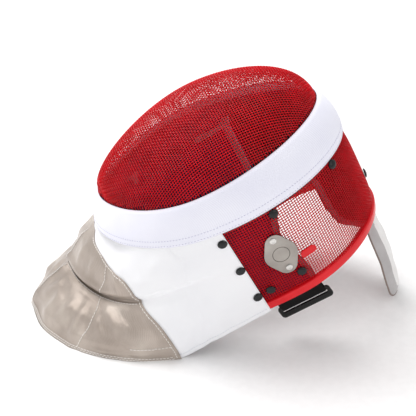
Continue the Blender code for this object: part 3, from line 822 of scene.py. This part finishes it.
FOLD_SCALE = 1.35
FOLDS = [
    # t, down, along_t, along_down, turn_deg, out
    (0.465, 1.44, 0.030, 0.26, 38, 3.2),
    (0.395, 1.56, 0.016, 0.22, 25, 1.8),
    (0.290, 1.62, 0.020, 0.34, 4, 2.8),
    (0.425, 0.66, 0.022, 0.16, 10, 1.8),
    (0.375, 1.36, 0.018, 0.22, -20, 0.8),
    (0.490, 1.37, 0.014, 0.17, 38, 0.8),
    (0.480, 1.62, 0.016, 0.14, 42, 1.5),
    (0.220, 1.45, 0.020, 0.26, -6, 1.7),
    (0.140, 1.62, 0.022, 0.24, 6, 1.5),
    (0.070, 1.42, 0.022, 0.22, -8, 1.3),
    (0.540, 1.84, 0.050, 0.035, 0, 1.2),
    (0.420, 1.86, 0.045, 0.035, 0, 1.1),
    (0.600, 1.46, 0.018, 0.18, 20, 1.1),
    (0.690, 1.66, 0.030, 0.22, -10, 1.2),
    (0.740, 1.35, 0.026, 0.20, 8, 0.9),
    (0.860, 1.45, 0.030, 0.24, -4, 0.9),
    (0.360, 0.64, 0.016, 0.13, 12, -0.8),
    (0.240, 0.60, 0.024, 0.20, -6, 1.3),
    (0.120, 0.62, 0.024, 0.20, 4, 1.1),
    (0.560, 0.62, 0.035, 0.16, 20, 0.8),
    (0.640, 0.35, 0.030, 0.16, -12, 0.8),
]


def fold_height(t, down):
    """Height of the single folds, each one a long bump in the plane of share and down."""
    total = 0
    for t0, d0, wide, tall, turn, out in FOLDS:
        a = (t - t0) * 3.0
        b = down - d0
        c, s = cos(radians(turn)), sin(radians(turn))
        along, across = b * c + a * s, a * c - b * s
        total = total + FOLD_SCALE * out * np.exp(-(across / (3 * wide)) ** 2 - (along / tall) ** 2)
    return total


def cloth_relief(points, t, down):
    """Everything that stands out of the plain surface: folds, the neck seam's crease and the seams."""
    soft = soft_folds(points, down) + fold_height(t, down) * smooth(1.0, 0.9, t)
    shares, places, depths = np.array(NECK_SEAM).T
    crease = np.exp(-((down - np.interp(t, shares, places)) / 0.033) ** 2) * np.interp(t, shares, depths)
    roll = 2.6 * np.exp(-((down - 0.89) / 0.075) ** 2) * smooth(0.46, 0.30, t)
    downs_at, shares_at = np.array(BACK_SEAM).T
    valley = 1.0 * np.exp(-((t - np.interp(down, downs_at, shares_at)) / 0.012) ** 2) * smooth(0.98, 0.9, t)
    under_band = 5.0 * smooth(0.5, 0.05, down) * smooth(0.55, 0.35, t)
    return (soft + roll - crease - valley - under_band) * smooth(1.0, 0.86, t)


DOWNS = np.concatenate([np.linspace(0, 0.84, 30), np.linspace(0.85, 1.07, 21), np.linspace(1.09, 2.0, 46)])


def dressed_bib(downs, ts):
    """The bib's outer side with its relief, and its normals, on the far half."""
    grid = bib_surface(downs, ts)
    normals = grid_normals(grid)
    down, t = np.meshgrid(downs, ts, indexing="ij")
    return grid + normals * cloth_relief(grid, t, down)[..., None], normals


def above_floor(grid, height):
    """Moves what would go below the floor up to it."""
    z = REST + grid[..., 0] * sin(TILT) + grid[..., 2] * cos(TILT)
    lift = np.maximum(height - z, 0)
    return grid + np.stack([lift * sin(TILT), 0 * lift, lift * cos(TILT)], axis=-1)


def bib():
    outer, normals = dressed_bib(DOWNS, np.linspace(0, 1, 104))
    hem = smooth(1.93, 1.955, DOWNS)[:, None, None] * 0.5
    inner = above_floor(mirrored(outer - normals * BIB_THICKNESS), FLOOR_GAP)
    outer = above_floor(mirrored(outer + normals * hem), FLOOR_GAP)
    obj = shell("bib_cloth_body", outer, inner, BIB, "cloth_white", ["bib"], uv=lengths_uv(outer))
    near = np.array([-0.01, 0, 0.01])
    line = []
    turned = []
    for t in np.linspace(0.66, 0.99, 60):
        spot, out = dressed_bib(1.925 + near, np.clip(t + near, 0, 1))
        line.append(spot[1, 1] + out[1, 1] * 0.35)
        turned.append(out[1, 1])
    seams = [(np.array(line) * flip, np.array(turned) * flip) for flip in (1, FLIP)]
    stitches("bib_stitches", seams, THREAD_WHITE, radius=0.2)


bib()


def lame_edge(downs):
    """How far round from the front the metallic cloth reaches in each row of the bib."""
    places, shares = np.array(LAME_EDGE).T
    steps = np.linspace(-0.1, 0.1, 9)
    return np.mean([np.interp(np.clip(downs + step, 0, 2), places, shares) for step in steps], axis=0)


def lame():
    downs = np.concatenate([np.linspace(0.13, 0.94, 42), np.linspace(0.95, 1.06, 15),
                            np.linspace(1.07, 2.0, 58)])
    reach = lame_edge(downs)
    ts = np.linspace(0, 1, 400)
    t_grid = reach[:, None] * np.linspace(0, 1, 80)
    outer, normals = (np.array([at_places(at, ts, row) for at, row in zip(t_grid, grid)])
                      for grid in dressed_bib(downs, ts))
    down = np.broadcast_to(downs[:, None], t_grid.shape)
    from_edge = reach[:, None] - t_grid
    crumple = 0.12 * (1 + np.sin(outer[..., 0] * 0.5 + 1.7 * np.sin(outer[..., 1] * 0.16)) *
                      np.sin(outer[..., 1] * 0.42 + outer[..., 2] * 0.2))
    crumple *= smooth(0.0, 0.06, from_edge)
    hem = 0.5 * smooth(1.90, 1.92, down) * (1 + 0.4 * np.sin(outer[..., 1] * 1.1))
    lift = 0.9 + crumple + hem + 0.35 * smooth(0.022, 0.016, from_edge)
    inner = above_floor(mirrored(outer + normals * 0.35), FLOOR_GAP)
    outer = above_floor(mirrored(outer + normals * lift[..., None]), FLOOR_GAP)
    obj = shell("lame_cloth_body", outer, inner, LAME, "lame_silver", ["bib_lame"], uv=lengths_uv(outer))
    normals = mirrored(normals)
    places = mirrored(np.stack([0 * t_grid, t_grid, 0 * t_grid], axis=-1))[..., 1]

    def seam(downs_at, shares_at):
        """A seam through places given by down and by share, on the near side where a share is below zero."""
        steps = np.linspace(0, len(downs_at) - 1, 80)
        line = []
        turned = []
        for down_at, share in zip(*(np.interp(steps, range(len(at)), at) for at in (downs_at, shares_at))):
            row = int(np.argmin(np.abs(downs - down_at)))
            line.append(at_places(share, places[row], outer[row]))
            turned.append(at_places(share, places[row], normals[row]))
        turned = np.array(turned)
        return np.array(line) + turned * 0.14, turned

    edge_downs = np.linspace(0.20, 1.98, 24)
    on_each_side = [((0.42, 0.68, 0.93), (0.343, 0.348, 0.325)),
                    ((1.07, 1.25, 1.55, 1.92), (0.325, 0.345, 0.345, 0.325)),
                    (edge_downs, lame_edge(edge_downs) - 0.012),
                    ((1.76, 1.75, 1.74, 1.745), (0.51, 0.585, 0.64, 0.67))]
    over_the_middle = [((1.92, 1.92), (-0.665, 0.665)), ((1.955, 1.955), (-0.67, 0.67)),
                       ((1.045, 1.045), (-0.53, 0.53)), ((1.07, 1.9), (0, 0)), ((0.25, 0.93), (0, 0))]
    seams = [seam(downs_at, side * np.array(shares)) for side in (-1, 1) for downs_at, shares in on_each_side]
    seams += [seam(downs_at, shares) for downs_at, shares in over_the_middle]
    stitches("lame_stitches", seams, THREAD_PALE, length=2.3, pitch=3.6, radius=0.42,
             lift=0.15)


lame()


# Padding inside the mesh

PAD_SET = 2.6
PAD_THIN = 2.0
PAD_DEEP = 8.0
PAD_ROUND = 9.0
TAPE_WIDTH = 6.5
CHEEK_EDGE = [
    # depth, along
    (46.0, 41.5),
    (54.7, 38.9),
    (77.7, 32.7),
    (104.4, 36.0),
    (120.2, 41.1),
    (139.4, 43.2),
    (160.0, 44.0),
]
BROW_EDGE = [
    # depth, along
    (46.0, 79.0),
    (58.0, 81.6),
    (87.0, 82.2),
    (109.0, 86.4),
    (117.0, 91.5),
    (125.0, 98.0),
    (139.0, 104.4),
    (160.0, 106.0),
]
FLAP_EDGE = [
    # depth, along
    (46.0, 75.5),
    (53.0, 78.0),
    (79.0, 83.5),
    (95.0, 86.0),
    (110.0, 72.0),
    (130.0, 45.0),
    (160.0, 44.0),
]


def share_along(place, edge):
    """The share of a row of the wall at which it crosses an edge given by depths."""
    fine = np.linspace(0.05, 0.98, 900)
    row = wall_row(place, fine)
    depths, alongs = np.array(edge).T
    ahead = row[:, 0] - np.interp(-row[:, 2], depths, alongs)
    return float(fine[np.argmax(ahead > 0)])


def padding(name, places, first, last, free, look, columns=60):
    """A pad between two shares of each row of the wall, with the sides named in free rounded and bound.

    free holds "first", "last", "top" and "low". The pad's near half joins the far one at its first
    column, or at its last one where the first is free.
    """
    shares = np.array([np.linspace(a, b, columns) for a, b in zip(first, last)])
    grid = np.array([wall_row(place, row) for place, row in zip(places, shares)])
    normals = grid_normals(grid)
    down, over = lengths(grid, 0), lengths(grid, 1)
    runs = {"top": down, "low": down[-1:] - down, "first": over, "last": over[:, -1:] - over}
    edge = np.full(grid.shape[:2], 99.0)
    for side in free:
        edge = np.minimum(edge, runs[side])
    crown = np.sqrt(1 - (1 - np.clip(edge / PAD_ROUND, 0, 1)) ** 2)
    quilt = 0.6 * np.sin(down / 21.0 * pi + 0.4) * np.sin(over / 24.0 * pi) * np.clip(edge / 12, 0, 1)
    tape = 0.5 * (edge < TAPE_WIDTH)
    outer = grid - normals * (PAD_SET - 0.6 * tape)[..., None]
    deep = PAD_SET + PAD_THIN + (PAD_DEEP - PAD_THIN) * crown + quilt + tape
    inner = grid - normals * deep[..., None]
    if "first" in free:
        outer, inner, edge = outer[:, ::-1], inner[:, ::-1], edge[:, ::-1]
    outer, inner = mirrored(outer), mirrored(inner)
    edge = np.concatenate([edge[:, ::-1][:, :-1], edge], axis=1)
    obj = shell(name, outer, inner, look, "pad_navy")
    repaint(obj, BINDING, np.concatenate([edge.ravel(), 0 * edge.ravel() + 99]), TAPE_WIDTH)
    back = np.where(inner[..., 0] > 12, 0.0, 1.0).ravel()
    repaint(obj, PAD_BLACK, np.concatenate([0 * back + 1, back]), 0.5)
    return obj


def lining():
    low = 0.055
    places = np.concatenate([np.linspace(-0.75, low - 0.075, 12), np.linspace(low - 0.06, low, 8)])
    ring = padding("lining_ring", places, 0 * places, 0 * places + 1, ("top", "low"), PAD, 160)
    places = np.linspace(low + 0.004, 0.965, 34)
    cheeks, brows, flaps = ([share_along(place, edge) for place in places]
                            for edge in (CHEEK_EDGE, BROW_EDGE, FLAP_EDGE))
    cheek = padding("lining_cheeks", places, 0 * places, cheeks, ("last",), PAD, 110)
    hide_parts("inner_pad")
    brow = padding("lining_crown", places, brows, 0 * places + 1, ("first",), PAD_BLACK)
    shares = np.array([np.linspace(a, max(b, a + 0.002), 24) for a, b in zip(cheeks, flaps)])
    grid = np.array([wall_row(place, row) for place, row in zip(places, shares)])
    normals = grid_normals(grid)
    flap = shell("temple_lining_far", grid - normals * 4.4, grid - normals * 5.2, PAD_BLACK, "pad_navy")


lining()


def band_tape(name, places, shares, width, off=11.2):
    """A flat tape sewn on the inner side of the padding, on both sides of the mask."""
    places, shares = (np.interp(np.linspace(0, 1, 40), np.linspace(0, 1, len(at)), at)
                      for at in (places, shares))
    line = []
    turned = []
    for place, share in zip(places, shares):
        near = wall([place - 0.01, place, place + 0.01], np.array([share - 0.01, share, share + 0.01]))
        turned.append(grid_normals(near)[1, 1])
        line.append(near[1, 1] - turned[-1] * off)
    line, turned = np.array(line), np.array(turned)
    side = np.cross(unit(np.gradient(line, axis=0)), turned)
    for flip, tag in ((1, "right"), (FLIP, "left")):
        sweep(f"{name}_{tag}", line * flip, side * flip, -turned * flip, rounded(width, 0.6, 0.25, 2),
              BINDING)
    return line, turned, side


def inner_tapes():
    line, turned, side = band_tape("cheek_tape_upright", [-0.42, 0.5], [0.550, 0.540], 8.0, 11.6)
    edge = line + side * 3.4
    stitches("tape_stitches", [(edge, -turned), (edge * FLIP, -turned * FLIP)], THREAD_WHITE,
             length=2.2, pitch=3.2, radius=0.45, lift=0.5)
    band_tape("cheek_tape_level", [0.04, -0.04, -0.2], [0.448, 0.50, 0.540], 6.5)
    band_tape("chin_tape_level", [-0.05, 0.12], [0.19, 0.232], 6.5)
    band_tape("chin_tape_upright", [-0.02, 0.22], [0.245, 0.222], 6.0, 11.4)


inner_tapes()


# Hard pieces: each one sits where its CAD part does

Seat = namedtuple("Seat", "middle long wide out size")


def seat_of(node):
    """The middle of a flat CAD part's inner face, its long, wide and outward directions, and its size."""
    points = from_row([vertex.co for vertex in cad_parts[node].data.vertices])
    middle = (points.min(axis=0) + points.max(axis=0)) / 2
    long, _, out = np.linalg.svd(points - points.mean(axis=0), full_matrices=False)[2]
    if out @ (middle * np.array([1, 1, 0])) < 0:
        out = -out
    if long[0] < 0:
        long = -long
    wide = np.cross(out, long)
    if wide[2] > 0:
        wide = -wide
    spans = [(axis, (points @ axis).min(), (points @ axis).max()) for axis in (long, wide, out)]
    middle = sum(axis * (low + high) / 2 for axis, low, high in spans[:2]) + out * spans[2][1]
    return Seat(middle, long, wide, out, [high - low for _, low, high in spans])


def seated(seat, points):
    """Points given along, down and out of a seat, in the mask's axes."""
    p = np.asarray(points, float)
    return seat.middle + p[..., :1] * seat.long + p[..., 1:2] * seat.wide + p[..., 2:] * seat.out


def loft(name, seat, rings, look, replaces=(), closed=False):
    """A closed body through rings of points given on a seat, with flat ends, or closed round its rings."""
    rings = np.asarray(rings, float)
    faces = ring_faces(*rings.shape[:2], closed)
    obj = new_object(name, seated(seat, rings.reshape(-1, 3)), faces, look, replaces)
    obj.data.set_sharp_from_angle(angle=radians(50))
    return obj


def turned(name, seat, profile, look, slot, replaces=(), sides=32):
    """A round piece turned from distances out from the seat's middle and up from it."""
    angle = np.arange(sides) * 2 * pi / sides
    rings = [np.stack([r * np.cos(angle), r * np.sin(angle), 0 * angle + h], axis=-1) for r, h in profile]
    return loft(name, seat, rings, look, replaces)


RIVET_HEAD = [
    # out, up
    (4.7, 0.0),
    (4.95, 0.25),
    (4.95, 0.55),
    (4.75, 0.95),
    (4.3, 1.4),
    (3.6, 1.8),
    (2.7, 2.1),
    (1.7, 2.28),
    (0.8, 2.37),
    (0.05, 2.4),
]
SMALL_HEAD = [
    # out, up
    (3.5, 0.0),
    (3.6, 0.15),
    (3.5, 0.4),
    (3.0, 0.75),
    (2.2, 0.95),
    (1.2, 1.05),
    (1.05, 0.8),
    (0.05, 0.75),
]


def rivets():
    for node in sorted(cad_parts):
        if node.startswith("rivet_"):
            turned(node + "_head", seat_of(node), RIVET_HEAD, ENAMEL, "rivet_black", [node])


rivets()


def turned_left(run):
    """Unit vectors at right angles to flat steps."""
    run = unit(run)
    return np.stack([-run[:, 1], run[:, 0]], axis=-1)


def inset(outline, distance):
    """A closed outline moved inward."""
    turn = turned_left(np.roll(outline, -1, axis=0) - np.roll(outline, 1, axis=0))
    toward = np.sign(np.sum(turn * -outline, axis=1).sum())
    return outline + turn * distance * toward


def arc(middle, radius, start, end, steps=10):
    angle = np.radians(np.linspace(start, end, steps + 1))
    return np.stack([middle[0] + radius * np.cos(angle), middle[1] + radius * np.sin(angle)], axis=-1)


def closed_evenly(outline, count):
    """A closed outline at even distances."""
    loop = np.vstack([outline, outline[:1]])
    length = lengths(loop)
    return at_places(np.linspace(0, length[-1], count, endpoint=False), length, loop)


def softened(outline, rounds):
    for _ in range(rounds):
        outline = (np.roll(outline, 1, axis=0) + 2 * outline + np.roll(outline, -1, axis=0)) / 4
    return outline


def flat_plate(name, seat, outline, thick, edge, look, replaces, grooves=()):
    """A plate with a rounded upper edge. grooves are (middle, radius) of thin engraved rings."""
    def ring(points, height):
        return np.column_stack([points, np.full(len(points), height)])

    rings = [ring(outline, 0), ring(outline, thick - edge)]
    for angle in (30, 60, 90):
        step = edge * (1 - cos(radians(angle)))
        rings.append(ring(inset(outline, step), thick - edge + edge * sin(radians(angle))))
    for middle, radius in grooves:
        toward = unit(outline - np.array(middle))
        for reach, height in ((0.35, 0), (0.2, -0.2), (-0.2, -0.2), (-0.35, 0)):
            rings.append(ring(np.array(middle) + toward * (radius + reach), thick + height))
    return loft(name, seat, rings, look, replaces), rings


def badge():
    seat = seat_of("badge_plate")
    end, belly = 15.0, 17.0
    outline = np.vstack([arc((end, 0), 10, -55, 55), arc((0, 0), belly, 70, 110),
                         arc((-end, 0), 10, 125, 235), arc((0, 0), belly, 250, 290)])
    outline = softened(closed_evenly(outline, 160), 12)
    outline = outline * (25.0 / np.abs(outline[:, 0]).max())
    plate, rings = flat_plate("badge_plate_bare", seat, outline, 1.0, 0.35, STEEL,
                              ["badge_plate"], grooves=[((0, 0), 8.6)])
    count = len(outline)
    depth = np.concatenate([np.full(count, 1.0 if row not in (6, 7) else 0.0) for row in range(len(rings))])
    repaint(plate, GROOVE, depth, 0.6)
    for node in ("badge_rivet_upper", "badge_rivet_lower"):
        turned(node + "_head", seat_of(node), SMALL_HEAD, RIVET_STEEL, "badge_metal", [node], sides=28)


badge()


def tab():
    seat = seat_of("side_tab")
    outline = closed_evenly(np.vstack([arc((4.5, 0), 4.25, -90, 90), arc((-4.5, 0), 4.25, 90, 270)]), 90)
    flat_plate("side_tab_rounded", seat, outline, 1.0, 0.6, RIM, ["side_tab"])


tab()


def slab(outline_out, outline_in, thick, edge):
    """Rings of a frame's cross-section between an outer and an inner outline, with rounded edges."""
    toward = unit(outline_in - outline_out)
    top, nick = thick / 2, edge * 0.3
    # From the outer outline where a step is zero or more, from the inner one where it is less
    steps = [(0, edge - top), (0, top - edge), (nick, top - nick), (edge, top),
             (-edge, top), (-nick, top - nick), (-0.0001, top - edge),
             (-0.0001, edge - top), (-nick, nick - top), (-edge, -top),
             (edge, -top), (nick, nick - top)]
    rings = []
    for step, height in steps:
        base = (outline_out if step >= 0 else outline_in) + toward * step
        rings.append(np.column_stack([base, np.full(len(base), height + top)]))
    return np.array(rings)


def rounded_box(width, top, low, radius):
    """A closed outline with rounded corners, from the lower right corner round."""
    x, upper, lower = width / 2 - radius, top + radius, low - radius
    corners = enumerate(((x, lower), (-x, lower), (-x, upper), (x, upper)))
    return np.vstack([arc(corner, radius, 90 * turn, 90 * turn + 90, 8) for turn, corner in corners])


LOOP_THICK = 3.0
WEBBING_HALF = 0.6


def strap():
    """The moulded loop at the near ear, and the webbing folded round its upper bar."""
    seat = seat_of("strap_loop_left")
    half = seat.size[1] / 2
    outer = rounded_box(59.0, -half, half, 4.2)
    inner = rounded_box(51.0, -half + 4.2, half - 7.0, 0.9)
    loft("strap_loop_left_moulded", seat, slab(outer, inner, LOOP_THICK, 0.9), PLASTIC,
         ["strap_loop_left"], closed=True)
    bar = -half + 2.1
    fold = LOOP_THICK / 2 + 0.35 + WEBBING_HALF
    root = -half - 16.5 - 9.0
    path = [(root, fold), (bar - 1.2, fold)]
    path += [(bar + 3.5 * sin(radians(angle)), fold * cos(radians(angle))) for angle in range(10, 171, 20)]
    path += [(bar - 1.2, -fold), (root, -fold)]
    path = np.array(path)
    points, _ = resample(np.column_stack([path, 0 * path[:, 0]]), np.ones((len(path), 3)), 0.8)
    points = points[:, :2]
    turn = turned_left(np.gradient(points, axis=0))
    across = np.linspace(-25, 25, 51)
    thick = WEBBING_HALF * np.sqrt(1 - np.clip((np.abs(across) - 24.2) / 0.85, 0, 0.96) ** 2)
    sides = []
    for sign in (1, -1):
        at = points[:, None] + turn[:, None] * (thick * sign)[None, :, None]
        grid = [np.broadcast_to(across, at.shape[:2]), at[..., 0], at[..., 1] + LOOP_THICK / 2]
        sides.append(seated(seat, np.stack(grid, axis=-1)))
    shell("strap_webbing_left_folded", *sides, WEBBING, "webbing_black", ["strap_webbing_left"],
          uv=lengths_uv(sides[0]))


strap()


# Tongue behind the head

TONGUE_ROOT = 131.0
TONGUE_LENGTH = 127.5
TONGUE_STATIONS = [
    # down, out, half_width, sag
    (0.00, 0.4435, 21.6, 3.5),
    (0.08, 0.4435, 22.7, 4.2),
    (0.16, 0.4440, 24.3, 4.9),
    (0.26, 0.4480, 25.9, 5.6),
    (0.40, 0.4500, 27.0, 7.0),
    (0.55, 0.4460, 27.0, 7.0),
    (0.70, 0.4340, 27.0, 7.0),
    (0.82, 0.4240, 26.4, 6.3),
    (0.90, 0.4150, 22.6, 4.9),
    (0.96, 0.4110, 15.2, 2.8),
    (1.00, 0.4070, 4.0, 0.7),
]
TONGUE_BODY = 4.5
TONGUE_WALL = 8.0


def tongue_place(across, down, height):
    """A point of the tongue from its distance across, its share of the length and its height outward."""
    shares, out, half, sag = np.array(TONGUE_STATIONS).T
    wide = np.interp(down, shares, half)
    thick = np.interp(down, [0, 0.08, 0.16, 0.26, 0.90, 0.96, 1.0], [0.45, 0.55, 0.75, 1.0, 1.0, 0.88, 0.6])
    middle = np.interp(down, shares, out) * RINGS["rim"].length - TONGUE_BODY * thick
    bend = np.interp(down, shares, sag) * (across / np.maximum(wide, 1)) ** 2
    return np.stack([middle + height * thick - bend, across, -(TONGUE_ROOT + down * TONGUE_LENGTH)], axis=-1)


def tongue():
    shares, _, half, _ = np.array(TONGUE_STATIONS).T
    downs = np.concatenate([np.linspace(0, 0.8, 60), np.linspace(0.81, 1.0, 34)])
    wide = curve_through(half[:, None], np.interp(downs, shares, np.arange(len(shares))))[:, 0]
    side = np.column_stack([wide, downs * TONGUE_LENGTH])
    flat = np.vstack([side, (side * np.array([-1, 1]))[::-1]])
    across = wide[:, None] * np.sin(np.linspace(-pi / 2, pi / 2, 73))[None, :]
    down = np.broadcast_to(downs[:, None], across.shape)
    spots = np.stack([across, down * TONGUE_LENGTH], axis=-1)
    edge = np.full(across.shape, 99.0)
    for start, end in zip(flat[:-1], flat[1:]):
        step = end - start
        along = np.clip((spots - start) @ step / max(step @ step, 1e-6), 0, 1)
        edge = np.minimum(edge, np.linalg.norm(spots - start - along[..., None] * step, axis=-1))
    slope = np.clip(edge / TONGUE_WALL, 0, 1)
    top = smooth(TONGUE_WALL, TONGUE_WALL + 2.0, edge)
    wrinkle = 0.3 * np.sin(down * 34 + across * 0.05) * np.clip(edge / 12, 0, 1)
    outward = TONGUE_BODY * (-0.75 + 1.45 * slope ** 0.8 + 0.3 * top) + wrinkle
    inward = TONGUE_BODY * (0.8 + 0.2 * np.sqrt(1 - (1 - np.clip(edge / 5.0, 0, 1)) ** 2))
    outer = above_floor(tongue_place(across, down, outward), 0.1)
    inner = above_floor(tongue_place(across, down, -inward), 0.1)
    body = shell("tongue_padded", outer, inner, TONGUE, "tongue_cloth", ["tongue"])
    # The outer side's sloping flanks take the darker grey: painted shade along the tongue's edges.
    wall = (edge < TONGUE_WALL + 0.1) & (down < 0.985)
    repaint(body, TONGUE_FLANK_SHADE, np.concatenate([np.where(wall, 0.0, 1.0).ravel(), np.ones(edge.size)]), 0.5)
    line = side + turned_left(np.gradient(side, axis=0)) * 0.3
    line = line[(line[:, 0] > 0.5) & (line[:, 1] <= TONGUE_LENGTH)]
    line = np.vstack([line, (line * np.array([-1, 1]))[::-1]])
    line = above_floor(tongue_place(line[:, 0], line[:, 1] / TONGUE_LENGTH, -0.8 * TONGUE_BODY), 1.1)
    line, normals = resample(line, np.tile([1.0, 0, 0], (len(line), 1)), 1.3)
    for _ in range(4):
        line[1:-1] = (line[:-2] + 2 * line[1:-1] + line[2:]) / 4
    tubes("tongue_piping", [(line, normals)], 1.0, 8, PIPING)


tongue()


# Camera, floor and light

CAMERA_DISTANCE = 1.4


def camera():
    """Looks at the mask's own origin from above its near side, with small offsets to the right and down."""
    azimuth, elevation = radians(-3.5), radians(30)
    right = Vector((cos(azimuth), sin(azimuth), 0))
    up = Vector((-sin(azimuth) * sin(elevation), cos(azimuth) * sin(elevation), cos(elevation)))
    back = Vector((sin(azimuth) * cos(elevation), -cos(azimuth) * cos(elevation), sin(elevation)))
    data = bpy.data.cameras.new("camera")
    data.lens = 121.3
    data.sensor_width = 36
    obj = linked("camera", data)
    aim = (back * -CAMERA_DISTANCE - right * 0.00285 - up * 0.0667).normalized()
    side = aim.cross(up).normalized()
    matrix = Matrix((side, side.cross(aim), -aim)).transposed().to_4x4()
    matrix.translation = Vector((SHIFT / 1000, 0, REST / 1000)) + back * CAMERA_DISTANCE
    obj.matrix_world = matrix
    bpy.context.scene.camera = obj


def area_light(name, place, size, power):
    data = bpy.data.lights.new(name, "AREA")
    data.size = size
    data.energy = power
    obj = linked(name, data)
    obj.location = place
    obj.rotation_euler = (Vector((0, 0, 0.1)) - Vector(place)).to_track_quat("-Z", "Y").to_euler()


def studio():
    mesh = bpy.data.meshes.new("floor")
    mesh.from_pydata([(-8, -8, 0), (8, -8, 0), (8, 8, 0), (-8, 8, 0)], [], [(0, 1, 2, 3)])
    floor = linked("floor", mesh)
    mesh.materials.append(look("floor_paper", (0.92, 0.915, 0.915), (0.94, 0.935, 0.935), 0.7, spread=0.1))
    world = bpy.data.worlds.new("studio")
    bpy.context.scene.world = world
    world.use_nodes = True
    background = world.node_tree.nodes["Background"]
    background.inputs["Color"].default_value = (1, 1, 1, 1)
    background.inputs["Strength"].default_value = 0.74
    area_light("key", (-0.8, 0.6, 1.8), 1.1, 30)
    area_light("fill", (1.3, -1.4, 1.2), 1.4, 5)
    bpy.context.scene.view_settings.view_transform = "Standard"


camera()
studio()
